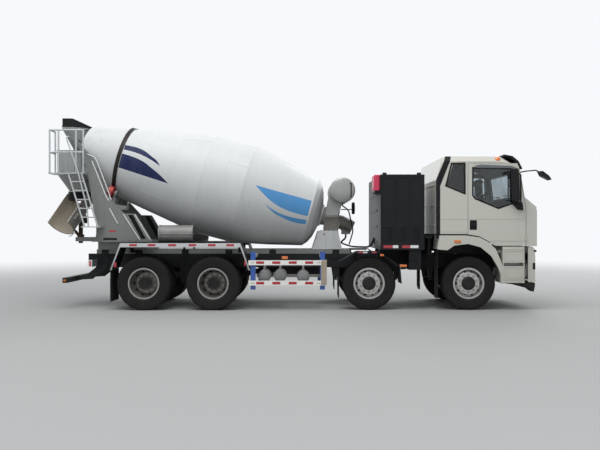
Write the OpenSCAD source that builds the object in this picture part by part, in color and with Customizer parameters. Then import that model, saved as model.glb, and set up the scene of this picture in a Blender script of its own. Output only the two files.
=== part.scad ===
/* [Axles and wheels] */
// Place of the first steered axle ahead of the origin
axle_1_x = 3520; // [3400:10:3600]
// First to second steered axle
wheelbase_1 = 1950; // [1800:10:2100]
// Second steered axle to first driven axle
wheelbase_2 = 3050; // [2950:10:3200]
// Between the two driven axles
wheelbase_3 = 1350; // [1300:10:1400]
// Outer radius of every tyre
tyre_r = 522; // [500:1:530]
// Section width of a tyre
tyre_w = 298; // [280:1:310]
// Radius of the rim's bead seat
rim_r = 286; // [280:1:292]
// Radius over the rim's flanges
flange_r = 305; // [298:1:310]
// Half of the steered track
steer_track = 1010; // [990:5:1030]
// Centre plane of an outer driven wheel
dual_outer_y = 1085; // [1060:5:1100]
// Between the two wheels of a driven pair
dual_gap = 330; // [315:1:345]
// Kingpin's distance from the centre plane
kingpin_y = 870; // [855:5:880]
// Kingpin radius
kingpin_r = 28; // [24:1:30]
// Wheel spindle radius
spindle_r = 45; // [38:1:50]
// Radial running clearance at pins and spindles
fit = 0.05; // [0.02:0.01:0.1]

/* [Chassis] */
// Front end of the frame rails
rail_front_x = 4850; // [4820:5:4860]
// Rear end of the frame rails
rail_rear_x = -4143; // [-4200:5:-4100]
// Underside of the frame rails
rail_z = 800; // [780:5:820]
// Height of the frame rails
rail_h = 282; // [260:2:290]
// Outer face of a rail from the centre plane
rail_y = 430; // [410:5:440]
// Width of a rail's flanges
rail_flange = 80; // [70:1:90]
// Thickness of a rail's steel
rail_t = 10; // [8:1:14]
// Height of the body's sub-frame
sub_h = 88; // [70:2:100]
// Radius of the towing pins
tow_pin_r = 20; // [16:1:24]

/* [Cab] */
// Face of the cab at its centre
cab_front_x = 4960; // [4930:5:4980]
// Back wall of the cab
cab_back_x = 2861; // [2840:5:2880]
// Half of the cab's width
cab_w = 1245; // [1220:5:1250]
// How far the cab's front corners sit back
cab_sag = 136; // [110:2:150]
// Bottom edge of the front panel
cab_z = 1253; // [1245:1:1270]
// Roof height
roof_z = 3005; // [2980:5:3020]
// Height at which the windscreen starts
belt_z = 2204; // [2180:2:2220]
// Underside of the cab floor
floor_z = 1490; // [1484:2:1510]
// Thickness of the cab's side walls and doors
wall = 60; // [50:1:70]
// Thickness of the front and back walls and the roof
skin = 35; // [28:1:42]
// Thickness of all glass
glass_t = 8; // [5:1:10]
// Cab tilt axis, height
tilt_z = 1120; // [1110:1:1125]
// Cab tilt axis, set back from the face
tilt_back = 160; // [150:1:170]
// Cab tilt pin radius
tilt_r = 20; // [16:1:24]

/* [Doors] */
// Hinge line of the doors, back from the face
hinge_back = 350; // [340:2:360]
// Length of a door
door_l = 1124; // [1100:2:1130]
// Gap around a door
door_gap = 8; // [6:0.5:10]
// Bottom edge of the doors
door_z = 1262; // [1258:1:1270]
// Top edge of the doors
door_top = 2865; // [2850:5:2870]
// Height of the side mirrors' heads
mirror_h = 640; // [560:10:660]

/* [Boxes on the frame] */
// Front face of the battery box
battery_x = 2637; // [2600:5:2660]
// Length of the battery box
battery_l = 853; // [800:5:870]
// Underside of the battery box
battery_z = 1183; // [1178:1:1200]
// Height of the battery box
battery_h = 1466; // [1400:5:1480]
// Length of the control box below it
control_l = 233; // [200:5:240]
// Radius of the air tanks
air_r = 120; // [100:5:125]

/* [Drum] */
// Tilt of the drum's axis
drum_tilt = 15; // [14.5:0.1:15.2]
// Centre of the drum's front head
drum_x = 647; // [640:1:655]
// Its height
drum_z = 1882; // [1878:1:1900]
// Greatest outer radius
drum_r = 1042; // [1030:1:1045]
// Radius of the front shoulder
shoulder_r = 885; // [875:1:890]
// Radius at the support ring
neck_r = 740; // [730:1:745]
// Radius at the mouth
mouth_r = 560; // [550:1:565]
// Front end of the cylinder, along the axis
cyl_s0 = 1650; // [1600:10:1700]
// Rear end of the cylinder
cyl_s1 = 2500; // [2450:10:2550]
// Middle of the support ring
ring_s = 4250; // [4240:1:4260]
// Overall length of the drum
drum_l = 5100; // [5080:5:5110]
// Plate thickness of the drum
drum_t = 12; // [8:1:20]
// Width of the support ring
ring_w = 70; // [60:1:80]
// How far the ring stands proud
ring_h = 20; // [15:1:25]
// Radius of the two support rollers
roller_r = 125; // [115:1:130]
// Angle of a roller from the bottom of the drum
roller_a = 41.4; // [40:0.1:43]
// Radius of the drum's stub shaft
stub_r = 60; // [50:1:70]

/* [Drum drive and water tank] */
// Length of the drum's gearbox
gearbox_l = 340; // [320:5:360]
// Radius of the gearbox
gearbox_r = 185; // [170:1:190]
// Water tank, ahead of the drum's front head
tank_ahead = 430; // [415:5:445]
// Water tank, height of its axis
tank_z = 2376; // [2360:2:2400]
// Radius of the water tank
tank_r = 250; // [235:1:255]
// Half of the water tank's length
tank_half = 750; // [700:10:800]

/* [Rear structure] */
// Inner face of the rear pedestal's side frames
ped_y = 722; // [718:1:740]
// Thickness of the side frames
ped_t = 60; // [50:1:65]
// Plate above the sub-frame that the side frames stand on
ped_plate = 30; // [24:1:36]
// Middle of the collector, also the chute's slewing axis
chute_x = -4440; // [-4460:2:-4430]
// Half of the collector's width
collector_w = 628; // [622:1:636]
// Sheet thickness of hopper and collector
sheet_t = 8; // [6:1:10]
// Underside of the collector's throat
throat_z = 2383; // [2370:1:2400]
// Radius of the collector's throat
throat_r = 222; // [214:1:226]
// Half of the hopper's width
hopper_w = 420; // [400:5:440]
// Top of the steel hopper
hopper_z = 3690; // [3680:2:3700]
// Height of the rubber rim on the hopper
rim_h = 180; // [160:5:200]
// Height of the service platform
deck_z = 2700; // [2690:2:2710]
// Outer edge of platform and ladder
deck_y = 1010; // [990:5:1030]
// Radius of rails and ladder tubes
tube_r = 17; // [14:1:20]

/* [Chute] */
// Slewed from straight back to the right, as parked
chute_slew = 60; // [55:1:70]
// Slope of the chute below level, as parked
chute_slope = 50; // [46:1:52]
// Length of the chute
chute_l = 810; // [780:5:840]
// Outer radius of the trough
chute_r = 296; // [288:2:304]
// Height of the straight wall above the trough's round
chute_wall = 90; // [70:5:100]
// Radius of the slewing post
post_r = 45; // [40:1:50]

/* [Guards] */
// Gap left to what turns or swings past
swing_gap = 12; // [8:1:16]
// Height of the side guard's lower rail
guard_z = 487; // [470:1:500]
// Outer face of guards and mudguards
guard_y = 1235; // [1220:1:1240]

/* [Hidden] */
$fn = 64;

// Axle places, front to back
axle_2_x = axle_1_x - wheelbase_1;
axle_3_x = axle_2_x - wheelbase_2;
axle_4_x = axle_3_x - wheelbase_3;
wheel_z = tyre_r;
dual_inner_y = dual_outer_y - dual_gap;
dual_mid_y = dual_outer_y - dual_gap / 2;
rail_top = rail_z + rail_h;
sub_top = rail_top + sub_h;
sub_front_x = 1243;
sub_rear_x = -3975;
tilt_x = cab_front_x - tilt_back;
hinge_x = cab_front_x - hinge_back;
door_rear_x = hinge_x - door_l;
tank_x = drum_x + tank_ahead;
ring_r = neck_r + ring_h;
roller_reach = ring_r + roller_r + 0.3;
guard_front_x = axle_2_x - 832;
guard_rear_x = axle_3_x + 694;
ped_front_x = -2775;
ped_rear_x = -3975;
ped_z = 1330;
ped_deck = ped_z + ped_plate;
shadow = "#26292c";
cream = "#d9d8cc";
steel_grey = "#8f9491";
black = "#17181a";

module both_sides() {
    children();
    mirror([0, 1, 0]) children();
}

// A sheet or block drawn from the side, between two distances from the centre plane
module side_plate(points, y0, y1) {
    translate([0, y1, 0]) rotate([90, 0, 0]) linear_extrude(height = y1 - y0) polygon(points);
}

// A block given by its two corners
module block(low, high) {
    translate(low) cube(high - low);
}

// A round bar between two points
module rod(a, b, r) {
    d = b - a;
    reach = norm(d);
    turn = atan2(d[1], d[0]);
    lean = acos(d[2] / reach);
    translate(a) rotate([0, lean, turn]) cylinder(r = r, h = reach, $fn = 24);
}

// A bent tube with round joints, through points from a list
module tube(points, r) {
    for (i = [1:len(points) - 1]) rod(points[i - 1], points[i], r);
    for (i = [1:len(points) - 2]) translate(points[i]) sphere(r = r + 0.5, $fn = 24);
}

// Along Y from y0 to y1 at a place in the side view
module cross_bar(x, z, r, y0, y1) {
    translate([x, y0, z]) rotate([-90, 0, 0]) cylinder(r = r, h = y1 - y0);
}

// The drum's own frame: z back along its axis, x up across it
module drum_place() {
    translate([drum_x, 0, drum_z]) rotate([0, drum_tilt - 90, 0]) children();
}

// A wheel's own frame: z outwards, at its centre; side is 1 left or -1 right
module wheel_place(x, y, side) {
    translate([x, side * y, wheel_z]) rotate([-90 * side, 0, 0]) children();
}

// Chassis

module rail(side) {
    y = side * rail_y;
    points = [[rail_front_x, rail_z + 60], [rail_front_x, rail_top], [rail_rear_x, rail_top],
        [rail_rear_x, rail_z + 150], [rail_rear_x + 420, rail_z], [rail_front_x - 320, rail_z]];
    inner = y - side * rail_flange;
    union() {
        side_plate(points, min(y, y - side * rail_t), max(y, y - side * rail_t));
        block([rail_rear_x, min(y, inner), rail_top - rail_t], [rail_front_x, max(y, inner), rail_top]);
        block([rail_rear_x + 420, min(y, inner), rail_z],
            [rail_front_x - 320, max(y, inner), rail_z + rail_t]);
    }
}

module tow_bar(x, dir) {
    // cross member with a fork for the towing pin
    difference() {
        union() {
            block([x - 40, -rail_y + rail_t, rail_z + 90], [x + 40, rail_y - rail_t, rail_top - 30]);
            for (s = [0, 1]) {
                translate([x + dir * 40, 0, rail_z + 100 + s * 110]) cylinder(r = 3 * tow_pin_r, h = 36);
            }
        }
        translate([x + dir * 62, 0, rail_z]) cylinder(r = tow_pin_r + fit, h = rail_h);
    }
}

module chassis_frame() {
    color("#2b2d2f") {
        union() {
            rail(1);
            rail(-1);
            for (x = [axle_1_x + 380, axle_2_x + 1080, axle_2_x - 750, axle_3_x + 880,
                (axle_3_x + axle_4_x) / 2]) {
                block([x - 30, -rail_y + rail_t, rail_z + 170], [x + 30, rail_y - rail_t, rail_top - 20]);
            }
            tow_bar(rail_front_x - 82, 1);
            tow_bar(rail_rear_x + 42, -1);
            // Cab tilt bearings on the rails' front ends
            both_sides() difference() {
                union() {
                    block([tilt_x - 40, rail_y, rail_top - 120], [tilt_x + 40, 520, rail_top]);
                    side_plate([[tilt_x - 40, rail_top], [tilt_x + 40, rail_top],
                        [tilt_x + 34, tilt_z + 34], [tilt_x - 34, tilt_z + 34]], 470, 520);
                }
                cross_bar(tilt_x, tilt_z, tilt_r + fit, 440, 530);
            }
        }
    }
}

module sub_frame() {
    color(steel_grey) union() {
        both_sides() block([sub_rear_x, rail_y - rail_flange, rail_top], [sub_front_x, rail_y, sub_top]);
        for (x = [1180, 200, -900, -1900, -2600]) {
            block([x - 30, -rail_y, rail_top], [x + 30, rail_y, sub_top - 10]);
        }
    }
}

beam_r = 62;

module steer_beam(x) {
    eye_h = 110;
    difference() {
        union() {
            block([x - 50, -600, wheel_z - 130], [x + 50, 600, wheel_z - 30]);
            both_sides() {
                translate([x + 50, 0, 0]) rotate([90, 0, -90]) linear_extrude(height = 100)
                    polygon([[-560, wheel_z - 130], [-560, wheel_z - 30],
                        [-kingpin_y + 72, wheel_z + eye_h / 2], [-kingpin_y, wheel_z + eye_h / 2],
                        [-kingpin_y, wheel_z - eye_h / 2], [-kingpin_y + 72, wheel_z - eye_h / 2]]);
                translate([x, kingpin_y, wheel_z - eye_h / 2]) cylinder(r = beam_r, h = eye_h);
            }
        }
        both_sides() translate([x, kingpin_y, 0]) cylinder(r = kingpin_r + fit, h = 2 * wheel_z);
    }
}

module drive_axle(x) {
    union() {
        cross_bar(x, wheel_z, 75, -dual_mid_y + 80, dual_mid_y - 80);
        both_sides() cross_bar(x, wheel_z, spindle_r, dual_mid_y - 90, dual_mid_y + 120);
        translate([x, 0, wheel_z]) rotate([0, 90, 0]) cylinder(r = 200, h = 250, center = true);
        translate([x, 0, wheel_z]) sphere(r = 215);
        both_sides() block([x - 50, spring_y - 40, wheel_z], [x + 50, spring_y + 40, wheel_z + 139]);
    }
}

module axle_beams() {
    color(shadow) {
        steer_beam(axle_1_x);
        steer_beam(axle_2_x);
        drive_axle(axle_3_x);
        drive_axle(axle_4_x);
    }
}

spring_y = 385;
spring_w = 80;

module leaf_springs() {
    color("#202224") both_sides() {
        for (x = [axle_1_x, axle_2_x]) {
            // a sagging stack of leaves on the beam, and its two hangers
            for (i = [0:3]) {
                block([x - 640 + 130 * i, spring_y - spring_w / 2, wheel_z - 30 + 16 * (3 - i)],
                    [x + 640 - 130 * i, spring_y + spring_w / 2, wheel_z - 14 + 16 * (3 - i)]);
            }
            for (s = [-1, 1]) {
                side_plate([[x + s * 600, wheel_z + 34], [x + s * 650, wheel_z + 34],
                    [x + s * 690, rail_z], [x + s * 560, rail_z]], spring_y - 30, spring_y + 30);
            }
        }
        // the driven axles share one long stack on a trunnion
        mid = (axle_3_x + axle_4_x) / 2;
        for (i = [0:4]) {
            block([mid - 740 + 130 * i, spring_y - spring_w / 2, wheel_z + 75 + 16 * (4 - i)],
                [mid + 740 - 130 * i, spring_y + spring_w / 2, wheel_z + 91 + 16 * (4 - i)]);
        }
        side_plate([[mid - 90, wheel_z - 60], [mid + 90, wheel_z - 60], [mid + 90, wheel_z + 75],
            [mid - 90, wheel_z + 75]], spring_y - 60, spring_y + 40);
        side_plate([[mid - 130, rail_z], [mid + 130, rail_z], [mid + 60, wheel_z + 155],
            [mid - 60, wheel_z + 155]], spring_y - 40, spring_y + 40);
    }
}

module drive_line() {
    // electric motor and gearbox as one block between the rails, and the shafts behind it
    motor_x0 = axle_3_x + 1300;
    color("#3a3d40") union() {
        block([motor_x0, -300, rail_z - 150], [motor_x0 + 950, 300, rail_top - 60]);
        block([motor_x0 - 260, -160, rail_z - 120], [motor_x0, 160, rail_top - 90]);
        rod([motor_x0 - 260, 0, wheel_z + 240], [axle_3_x + 229, 0, wheel_z + 40], 55);
        rod([axle_3_x - 215.3, 0, wheel_z + 20], [axle_4_x + 215.3, 0, wheel_z + 20], 50);
        both_sides() block([motor_x0 + 120, 300, rail_z + 20],
            [motor_x0 + 260, rail_y - rail_t, rail_z + 100]);
    }
}

// Wheels

module tyre_ring() {
    half = tyre_w / 2;
    rotate_extrude($fn = 96) polygon([[rim_r + 1, -half + 31], [flange_r + 1, -half + 31],
        [flange_r + 25, -half + 19], [flange_r + 75, -half + 2], [tyre_r - 82, -half],
        [tyre_r - 18, -half + 11], [tyre_r, -half + 30], [tyre_r, half - 30],
        [tyre_r - 18, half - 11], [tyre_r - 82, half], [flange_r + 75, half - 2],
        [flange_r + 25, half - 19], [flange_r + 1, half - 31], [rim_r + 1, half - 31]]);
}

module rim_barrel() {
    half = tyre_w / 2 - 30.7;
    rotate_extrude($fn = 96) polygon([[rim_r - 14, -half - 10], [flange_r, -half - 10],
        [flange_r, -half], [rim_r + 0.7, -half], [rim_r + 0.7, half], [flange_r, half],
        [flange_r, half + 10], [rim_r - 14, half + 10]]);
}

module ring_of_holes(count, at, r) {
    for (i = [0:count - 1]) rotate([0, 0, 360 / count * i]) translate([at, 0, -400]) cylinder(r = r, h = 900);
}

hub_r = 108;

module steer_rim() {
    // barrel, a disc dished outwards with ten hand holes, and the hub with its cap
    difference() {
        union() {
            rim_barrel();
            rotate_extrude($fn = 96) polygon([[rim_r - 14, 60], [215, 104], [hub_r - 10, 104],
                [hub_r - 10, 82], [205, 82], [rim_r - 14, 34]]);
            translate([0, 0, -32]) cylinder(r = hub_r + 20, h = 116);
            translate([0, 0, 80]) cylinder(r = hub_r, h = 76);
        }
        ring_of_holes(10, 238, 21);
        translate([0, 0, -73]) cylinder(r = spindle_r + fit, h = 143);
    }
}

module drive_rim() {
    // two barrels on one hub, their discs bolted face to face between them
    out = dual_gap / 2;
    difference() {
        union() {
            rim_barrel();
            translate([0, 0, -dual_gap]) rim_barrel();
            for (s = [1, -1]) translate([0, 0, -out]) rotate_extrude($fn = 96) polygon([
                [rim_r - 13, s * (out - 66)], [rim_r - 13, s * (out - 90)], [206, 0], [hub_r - 10, 0],
                [hub_r - 10, s * 26], [206, s * 26]]);
            translate([0, 0, -out - 60]) cylinder(r = hub_r + 22, h = 100);
            translate([0, 0, -out + 30]) cylinder(r = hub_r, h = 170);
        }
        ring_of_holes(10, 238, 20);
        translate([0, 0, -out - 61]) cylinder(r = spindle_r + fit, h = 183);
    }
}

module knuckle(x, side) {
    // fork over and under the beam's eye, kingpin, plate and the wheel's spindle
    eye_half = 55.5;
    y_out = kingpin_y + beam_r + swing_gap;
    color("#34373a") mirror([0, side > 0 ? 0 : 1, 0]) union() {
        translate([x, kingpin_y, wheel_z - eye_half - 38]) cylinder(r = kingpin_r, h = 2 * eye_half + 76);
        for (z = [wheel_z - eye_half - 38, wheel_z + eye_half]) {
            translate([x, kingpin_y, z]) cylinder(r = 52, h = 38);
            block([x - 45, kingpin_y, z], [x + 45, y_out + 1, z + 38]);
        }
        block([x - 55, y_out, wheel_z - eye_half - 38], [x + 55, y_out + 24, wheel_z + eye_half + 38]);
        cross_bar(x, wheel_z, spindle_r, y_out + 20, steer_track + 66);
    }
}

// Cab

// How far the face sits back at a distance y from the centre plane
function sag(y) = cab_sag * pow(abs(y) / cab_w, 3);

// Side outlines of the cab below and above the windscreen's foot, shrunk by a wall's thickness
function cab_low(y, t) = [[cab_back_x + t, cab_z], [cab_back_x + t, belt_z + 1],
    [cab_front_x - 305 - sag(y) * 0.5 - t, belt_z + 1], [cab_front_x - 30 - sag(y) - t, belt_z - 170],
    [cab_front_x - sag(y) - t, belt_z - 260], [cab_front_x - sag(y) - t, cab_z]];
function cab_high(y, t) = [[cab_back_x + t, belt_z], [cab_back_x + t, roof_z - 465],
    [cab_back_x + 129 + t, roof_z - 20 - t - (abs(y) > cab_w - 60 ? 90 : 0)],
    [cab_back_x + 210, roof_z - t - (abs(y) > cab_w - 60 ? 100 : 0)],
    [cab_front_x - 845, roof_z - t - (abs(y) > cab_w - 60 ? 100 : 0)],
    [cab_front_x - 400 - sag(y) * 0.5 - t, roof_z - 250 - t],
    [cab_front_x - 305 - sag(y) * 0.5 - t, belt_z]];

module cab_half_slices(high, side_t, t) {
    for (y = [-cab_w + side_t, -cab_w + 80, -900, -450, 0, 450, 900, cab_w - 80, cab_w - side_t]) {
        translate([0, y + 0.5, 0]) rotate([90, 0, 0]) linear_extrude(height = 1)
            polygon(high ? cab_high(y, t) : cab_low(y, t));
    }
}

module cab_solid(side_t, t) {
    hull() cab_half_slices(false, side_t, t);
    hull() cab_half_slices(true, side_t, t);
}

// Wheel arch lip: outer and inner edges, from the rear foot to the front foot
arch_out = [[axle_1_x - 636, 1199], [axle_1_x - 591, 1462], [axle_1_x - 78, 1462], [axle_1_x + 190, 1425],
    [axle_1_x + 369, 1327], [axle_1_x + 503, 1197], [axle_1_x + 592, 997], [axle_1_x + 637, 862],
    [axle_1_x + 637, 539]];
arch_in = [[axle_1_x + 600, 539], [axle_1_x + 600, 700], [axle_1_x + 546, 841], [axle_1_x + 413, 1065],
    [axle_1_x + 211, 1232], [axle_1_x - 34, 1298], [axle_1_x - 302, 1265], [axle_1_x - 436, 1175],
    [axle_1_x - 601, 1187]];

door_outline = [[door_rear_x, floor_z - 8], [door_rear_x + 214, floor_z - 42],
    [door_rear_x + 394, floor_z - 140], [door_rear_x + 530, door_z], [hinge_x - door_gap / 2, door_z],
    [hinge_x - door_gap / 2, belt_z - 190], [hinge_x - 50, belt_z + 10], [hinge_x - 132, door_top - 85],
    [hinge_x - 170, door_top], [door_rear_x, door_top]];
door_window = [[door_rear_x + 90, 2781], [hinge_x - 164, 2759], [hinge_x - 152, 2124],
    [hinge_x - 533, 1990], [door_rear_x + 134, 2180], [door_rear_x + 90, 2246]];
side_window = [[3185, 2845], [3405, 2853], [3410, 2285], [3070, 2428]];
screen_half = 1085;

module screen_prism(grow) {
    // the windscreen's outline, seen from ahead
    translate([cab_front_x - 620, 0, 0]) rotate([90, 0, 90]) linear_extrude(height = 600)
        polygon([[-screen_half - grow, belt_z + 46 - grow], [screen_half + grow, belt_z + 46 - grow],
            [screen_half - 70 + grow, roof_z - 300 + grow], [-screen_half + 70 - grow, roof_z - 300 + grow]]);
}

hinge_zs = [1420, 1880];
barrel_r = 13;
pin_r = 7;
barrel_h = 70;

module hinge_pins() {
    // on the front pillar: a pin between two knuckles, at the outer face
    for (z = hinge_zs) {
        translate([hinge_x, cab_w, z - barrel_h / 2 - 20]) cylinder(r = pin_r, h = barrel_h + 40);
        for (s = [-1, 1]) {
            translate([hinge_x, cab_w, z + s * (barrel_h / 2 + 10.5) - 10]) {
                cylinder(r = barrel_r, h = 20);
                translate([0, -10, 0]) cube([30, 22, 20]);
            }
        }
    }
}

// The door opening is the door's outline moved out by its gap
function door_cut_x(x) = x < door_rear_x + 1 ? x - door_gap : (x > hinge_x - 200 ? x + door_gap : x);
function door_cut_z(z) = z > door_top - 1 ? z + door_gap : (z < door_z + 1 ? z - 40 : z);

module cab_shell() {
    color(cream) union() {
        difference() {
            cab_solid(0, 0);
            // the room inside, above the floor
            intersection() {
                cab_solid(wall, skin);
                block([cab_back_x, -cab_w, floor_z + 40], [cab_front_x, cab_w, roof_z]);
            }
            // open below the floor, inside the skirts
            block([cab_back_x - 1, -cab_w + wall, cab_z - 1],
                [cab_front_x - cab_sag - skin, cab_w - wall, floor_z]);
            intersection() {
                cab_solid(wall, skin);
                block([cab_front_x - 400, -cab_w, cab_z - 1], [cab_front_x, cab_w, floor_z]);
            }
            // behind the doors the sides end at the floor
            side_plate([[cab_back_x - 1, cab_z - 1], [door_rear_x + 540, cab_z - 1],
                [door_rear_x + 530, door_z + 1], [door_rear_x + 394, floor_z - 139],
                [door_rear_x + 214, floor_z - 41], [door_rear_x, floor_z - 7], [door_rear_x, floor_z],
                [cab_back_x - 1, floor_z]], -cab_w - 1, cab_w + 1);
            both_sides() {
                // door opening with its gap, side window
                side_plate([for (p = door_outline) [door_cut_x(p[0]), door_cut_z(p[1])]],
                    cab_w - wall - 1, cab_w + 1);
                side_plate(side_window, cab_w - wall - 1, cab_w + 1);
                for (z = hinge_zs) translate([hinge_x, cab_w, z - barrel_h / 2 - 24])
                    cylinder(r = barrel_r + 5, h = barrel_h + 48);
            }
            screen_prism(0);
        }
        both_sides() hinge_pins();
        // arms down to the tilt bearings, cranked back clear of the bumper
        both_sides() {
            side_plate([[tilt_x - 30, tilt_z - 18], [tilt_x + 20, tilt_z - 28], [tilt_x + 24, tilt_z + 20],
                [tilt_x - 66, tilt_z + 116], [tilt_x - 215, floor_z + 5], [tilt_x - 320, floor_z + 5]], 526, 560);
            cross_bar(tilt_x, tilt_z, 34, 526, 560);
            cross_bar(tilt_x, tilt_z, tilt_r, 445, 530);
        }
    }
}

module cab_glass() {
    color("#2c3a3a") {
        intersection() {
            difference() {
                cab_solid(10, 10);
                cab_solid(10 + glass_t, 10 + glass_t);
            }
            screen_prism(0);
        }
        both_sides() side_plate(side_window, cab_w - 10 - glass_t, cab_w - 10);
    }
}

module cab_trim() {
    color(black) {
        // black strips down the rear corners
        both_sides() side_plate([[cab_back_x, 1480], [cab_back_x + 80, 1480], [cab_back_x + 80, 2423],
            [cab_back_x + 256, roof_z - 135], [cab_back_x + 140, roof_z - 135], [cab_back_x, roof_z - 465]],
            cab_w + 0.8, cab_w + 4.5);
        // sun visor across the roof's front edge
        side_plate([[cab_front_x - 764, roof_z + 38], [cab_front_x - 600, roof_z + 8],
            [cab_front_x - 480, roof_z - 90], [cab_front_x - 402, roof_z - 245],
            [cab_front_x - 424, roof_z - 230], [cab_front_x - 520, roof_z - 110],
            [cab_front_x - 640, roof_z - 10], [cab_front_x - 764, roof_z + 8]], -cab_w + 45, cab_w - 45);
        both_sides() side_plate([[cab_front_x - 760, roof_z - 46.5], [cab_front_x - 720, roof_z - 69.5],
            [cab_front_x - 720, roof_z + 12], [cab_front_x - 760, roof_z + 12]], 700, 760);
        // look-down mirror on its arm, at the right front corner
        tube([[cab_front_x - 430, -1060, 2700], [cab_front_x - 320, -1110, 2722],
            [cab_front_x - 131, -1150, 2737], [cab_front_x - 50, -1150, 2700]], 12);
        side_plate([[cab_front_x - 75, 2713], [cab_front_x - 26, 2716], [cab_front_x + 96, 2624],
            [cab_front_x + 141, 2558], [cab_front_x + 131, 2541], [cab_front_x - 36, 2626]], -1260, -1060);
        // grille on the face, bent with it
        for (i = [0:4]) translate([0, 0, 1420 + 92 * i]) linear_extrude(height = 60) polygon(concat(
            [for (y = [-450, 0, 450]) [cab_front_x - sag(y) + 0.3, y]],
            [for (y = [450, 0, -450]) [cab_front_x - sag(y) + 9, y]]));
    }
}

module seat(y) {
    block([3500, y - 260, floor_z + 240], [4020, y + 260, floor_z + 360]);
    block([3560, y - 150, floor_z + 40], [3960, y + 150, floor_z + 240]);
    side_plate([[3440, floor_z + 340], [3560, floor_z + 360], [3400, floor_z + 1060],
        [3290, floor_z + 1040]], y - 240, y + 240);
}

module cab_interior() {
    color("#3b3c3e") {
        union() {
            seat(560);
            seat(-560);
            block([cab_back_x + 59, -cab_w + wall + 20, floor_z + 40],
                [cab_back_x + 419, cab_w - wall - 20, floor_z + 420]);
        }
        union() {
            // dashboard, steering column and wheel
            side_plate([[4440, floor_z + 40], [4700, floor_z + 40], [4640, floor_z + 560],
                [4560, floor_z + 690], [4400, floor_z + 680], [4350, floor_z + 560]],
                -cab_w + wall + 40, cab_w - wall - 40);
            rod([4480, 560, floor_z + 480], [4210, 560, floor_z + 740], 40);
            translate([4195, 560, floor_z + 755]) rotate([0, -46, 0]) {
                rotate_extrude() translate([215, 0]) circle(r = 16, $fn = 24);
                for (a = [30, 150, 270]) rotate([0, 0, a]) translate([0, -16, -8]) cube([212, 32, 14]);
                cylinder(r = 60, h = 30, center = true);
            }
        }
    }
}

module door(side) {
    color(cream) mirror([0, side > 0 ? 0 : 1, 0]) difference() {
        union() {
            difference() {
                side_plate(door_outline, cab_w - wall, cab_w);
                for (z = hinge_zs) translate([hinge_x, cab_w, z - barrel_h / 2 - 24])
                    cylinder(r = barrel_r + 5, h = barrel_h + 48);
            }
            for (z = hinge_zs) translate([hinge_x, cab_w, z - barrel_h / 2]) {
                cylinder(r = barrel_r, h = barrel_h);
                translate([-34, -12, 0]) cube([34, 22, barrel_h]);
            }
        }
        side_plate(door_window, cab_w - wall - 1, cab_w + 1);
        // pocket of the handle
        side_plate([[door_rear_x + 30, 1570], [door_rear_x + 170, 1570], [door_rear_x + 170, 1750],
            [door_rear_x + 30, 1750]], cab_w - 22, cab_w + 1);
        for (z = hinge_zs) translate([hinge_x, cab_w, z - barrel_h])
            cylinder(r = pin_r + fit, h = 2 * barrel_h);
    }
}

module door_glass(side) {
    color("#2c3a3a") mirror([0, side > 0 ? 0 : 1, 0])
        side_plate(door_window, cab_w - wall / 2 - glass_t, cab_w - wall / 2);
}

module mirror_arm(side) {
    // two heads in one black housing on a base at the door's front corner
    y = cab_w + 40;
    color(black) mirror([0, side > 0 ? 0 : 1, 0]) union() {
        side_plate([[hinge_x - 270, 2075], [hinge_x - 160, 1960], [hinge_x - 66, 1950], [hinge_x - 66, 1985],
            [hinge_x - 80, 2100], [hinge_x - 180, 2118]], cab_w, y + 6);
        for (z = [2120, 2690]) rod([hinge_x - 110, y - 10, z - 60], [hinge_x - 210, y + 70, z], 14);
        rod([hinge_x - 110, y - 10, 2050], [hinge_x - 110, y - 10, 2640], 14);
        side_plate([[hinge_x - 330, 2150], [hinge_x - 215, 2108], [hinge_x - 180, 2160],
            [hinge_x - 200, 2108 + mirror_h - 30], [hinge_x - 250, 2108 + mirror_h],
            [hinge_x - 360, 2108 + mirror_h - 40]], y + 12, y + 165);
    }
}

// Boxes and bodywork on the frame

module battery_box() {
    x0 = battery_x - battery_l;
    z1 = battery_z + battery_h;
    color("#232527") difference() {
        union() {
            block([x0, -cab_w + 4, battery_z], [battery_x, cab_w - 4, z1]);
            // lifting lugs, and the two small boxes on the rear face
            both_sides() for (x = [x0 + 90, battery_x - 90]) {
                block([x - 40, cab_w - 130, z1], [x + 40, cab_w - 110, z1 + 45]);
            }
            for (y = [-1130, -900]) block([x0 - 102, y, z1 - 364], [x0, y + 190, z1 - 5]);
            both_sides() block([x0 + 60, rail_y - rail_flange, rail_top],
                [battery_x - 60, rail_y, battery_z]);
        }
        both_sides() for (i = [0:2]) {
            block([x0 + 30 + i * 270, cab_w - 9, battery_z + 130], [x0 + 280 + i * 270, cab_w, z1 - 60]);
        }
    }
}

module control_box() {
    color("#1e2022") both_sides() union() {
        block([battery_x - 60 - control_l, 760, rail_z - 10], [battery_x - 60, cab_w - 40, battery_z]);
        block([battery_x - 200, rail_y, rail_z + 40], [battery_x - 120, 761, rail_z + 110]);
    }
}

module air_tanks() {
    color("#3c4043") for (p = [[-488, 655], [-175, 665], [279, 643]]) both_sides() union() {
        cross_bar(p[0], p[1], air_r, 500, 1080);
        cross_bar(p[0], p[1], air_r - 25, 478, 1102);
        for (y = [600, 940]) block([p[0] - 20, y, p[1]], [p[0] + 20, y + 40, rail_z + 25]);
        block([p[0] - 20, rail_y, rail_z + 15], [p[0] + 20, 980, rail_z + 45]);
    }
}

module side_guards() {
    color("#e6e4de") both_sides() union() {
        for (z = [guard_z, guard_z + 396]) {
            block([guard_rear_x, guard_y - 30, z], [guard_front_x - 6, guard_y, z + 95]);
        }
        for (x = [guard_rear_x + 42, guard_front_x - 128]) {
            block([x, guard_y - 80, guard_z - 75], [x + 90, guard_y - 30, rail_top + 60]);
            block([x, rail_y, rail_top - 60], [x + 90, guard_y - 79, rail_top]);
        }
        block([guard_front_x - 112, guard_y, guard_z + 12], [guard_front_x, guard_y + 4, guard_z + 498]);
    }
}

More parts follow.
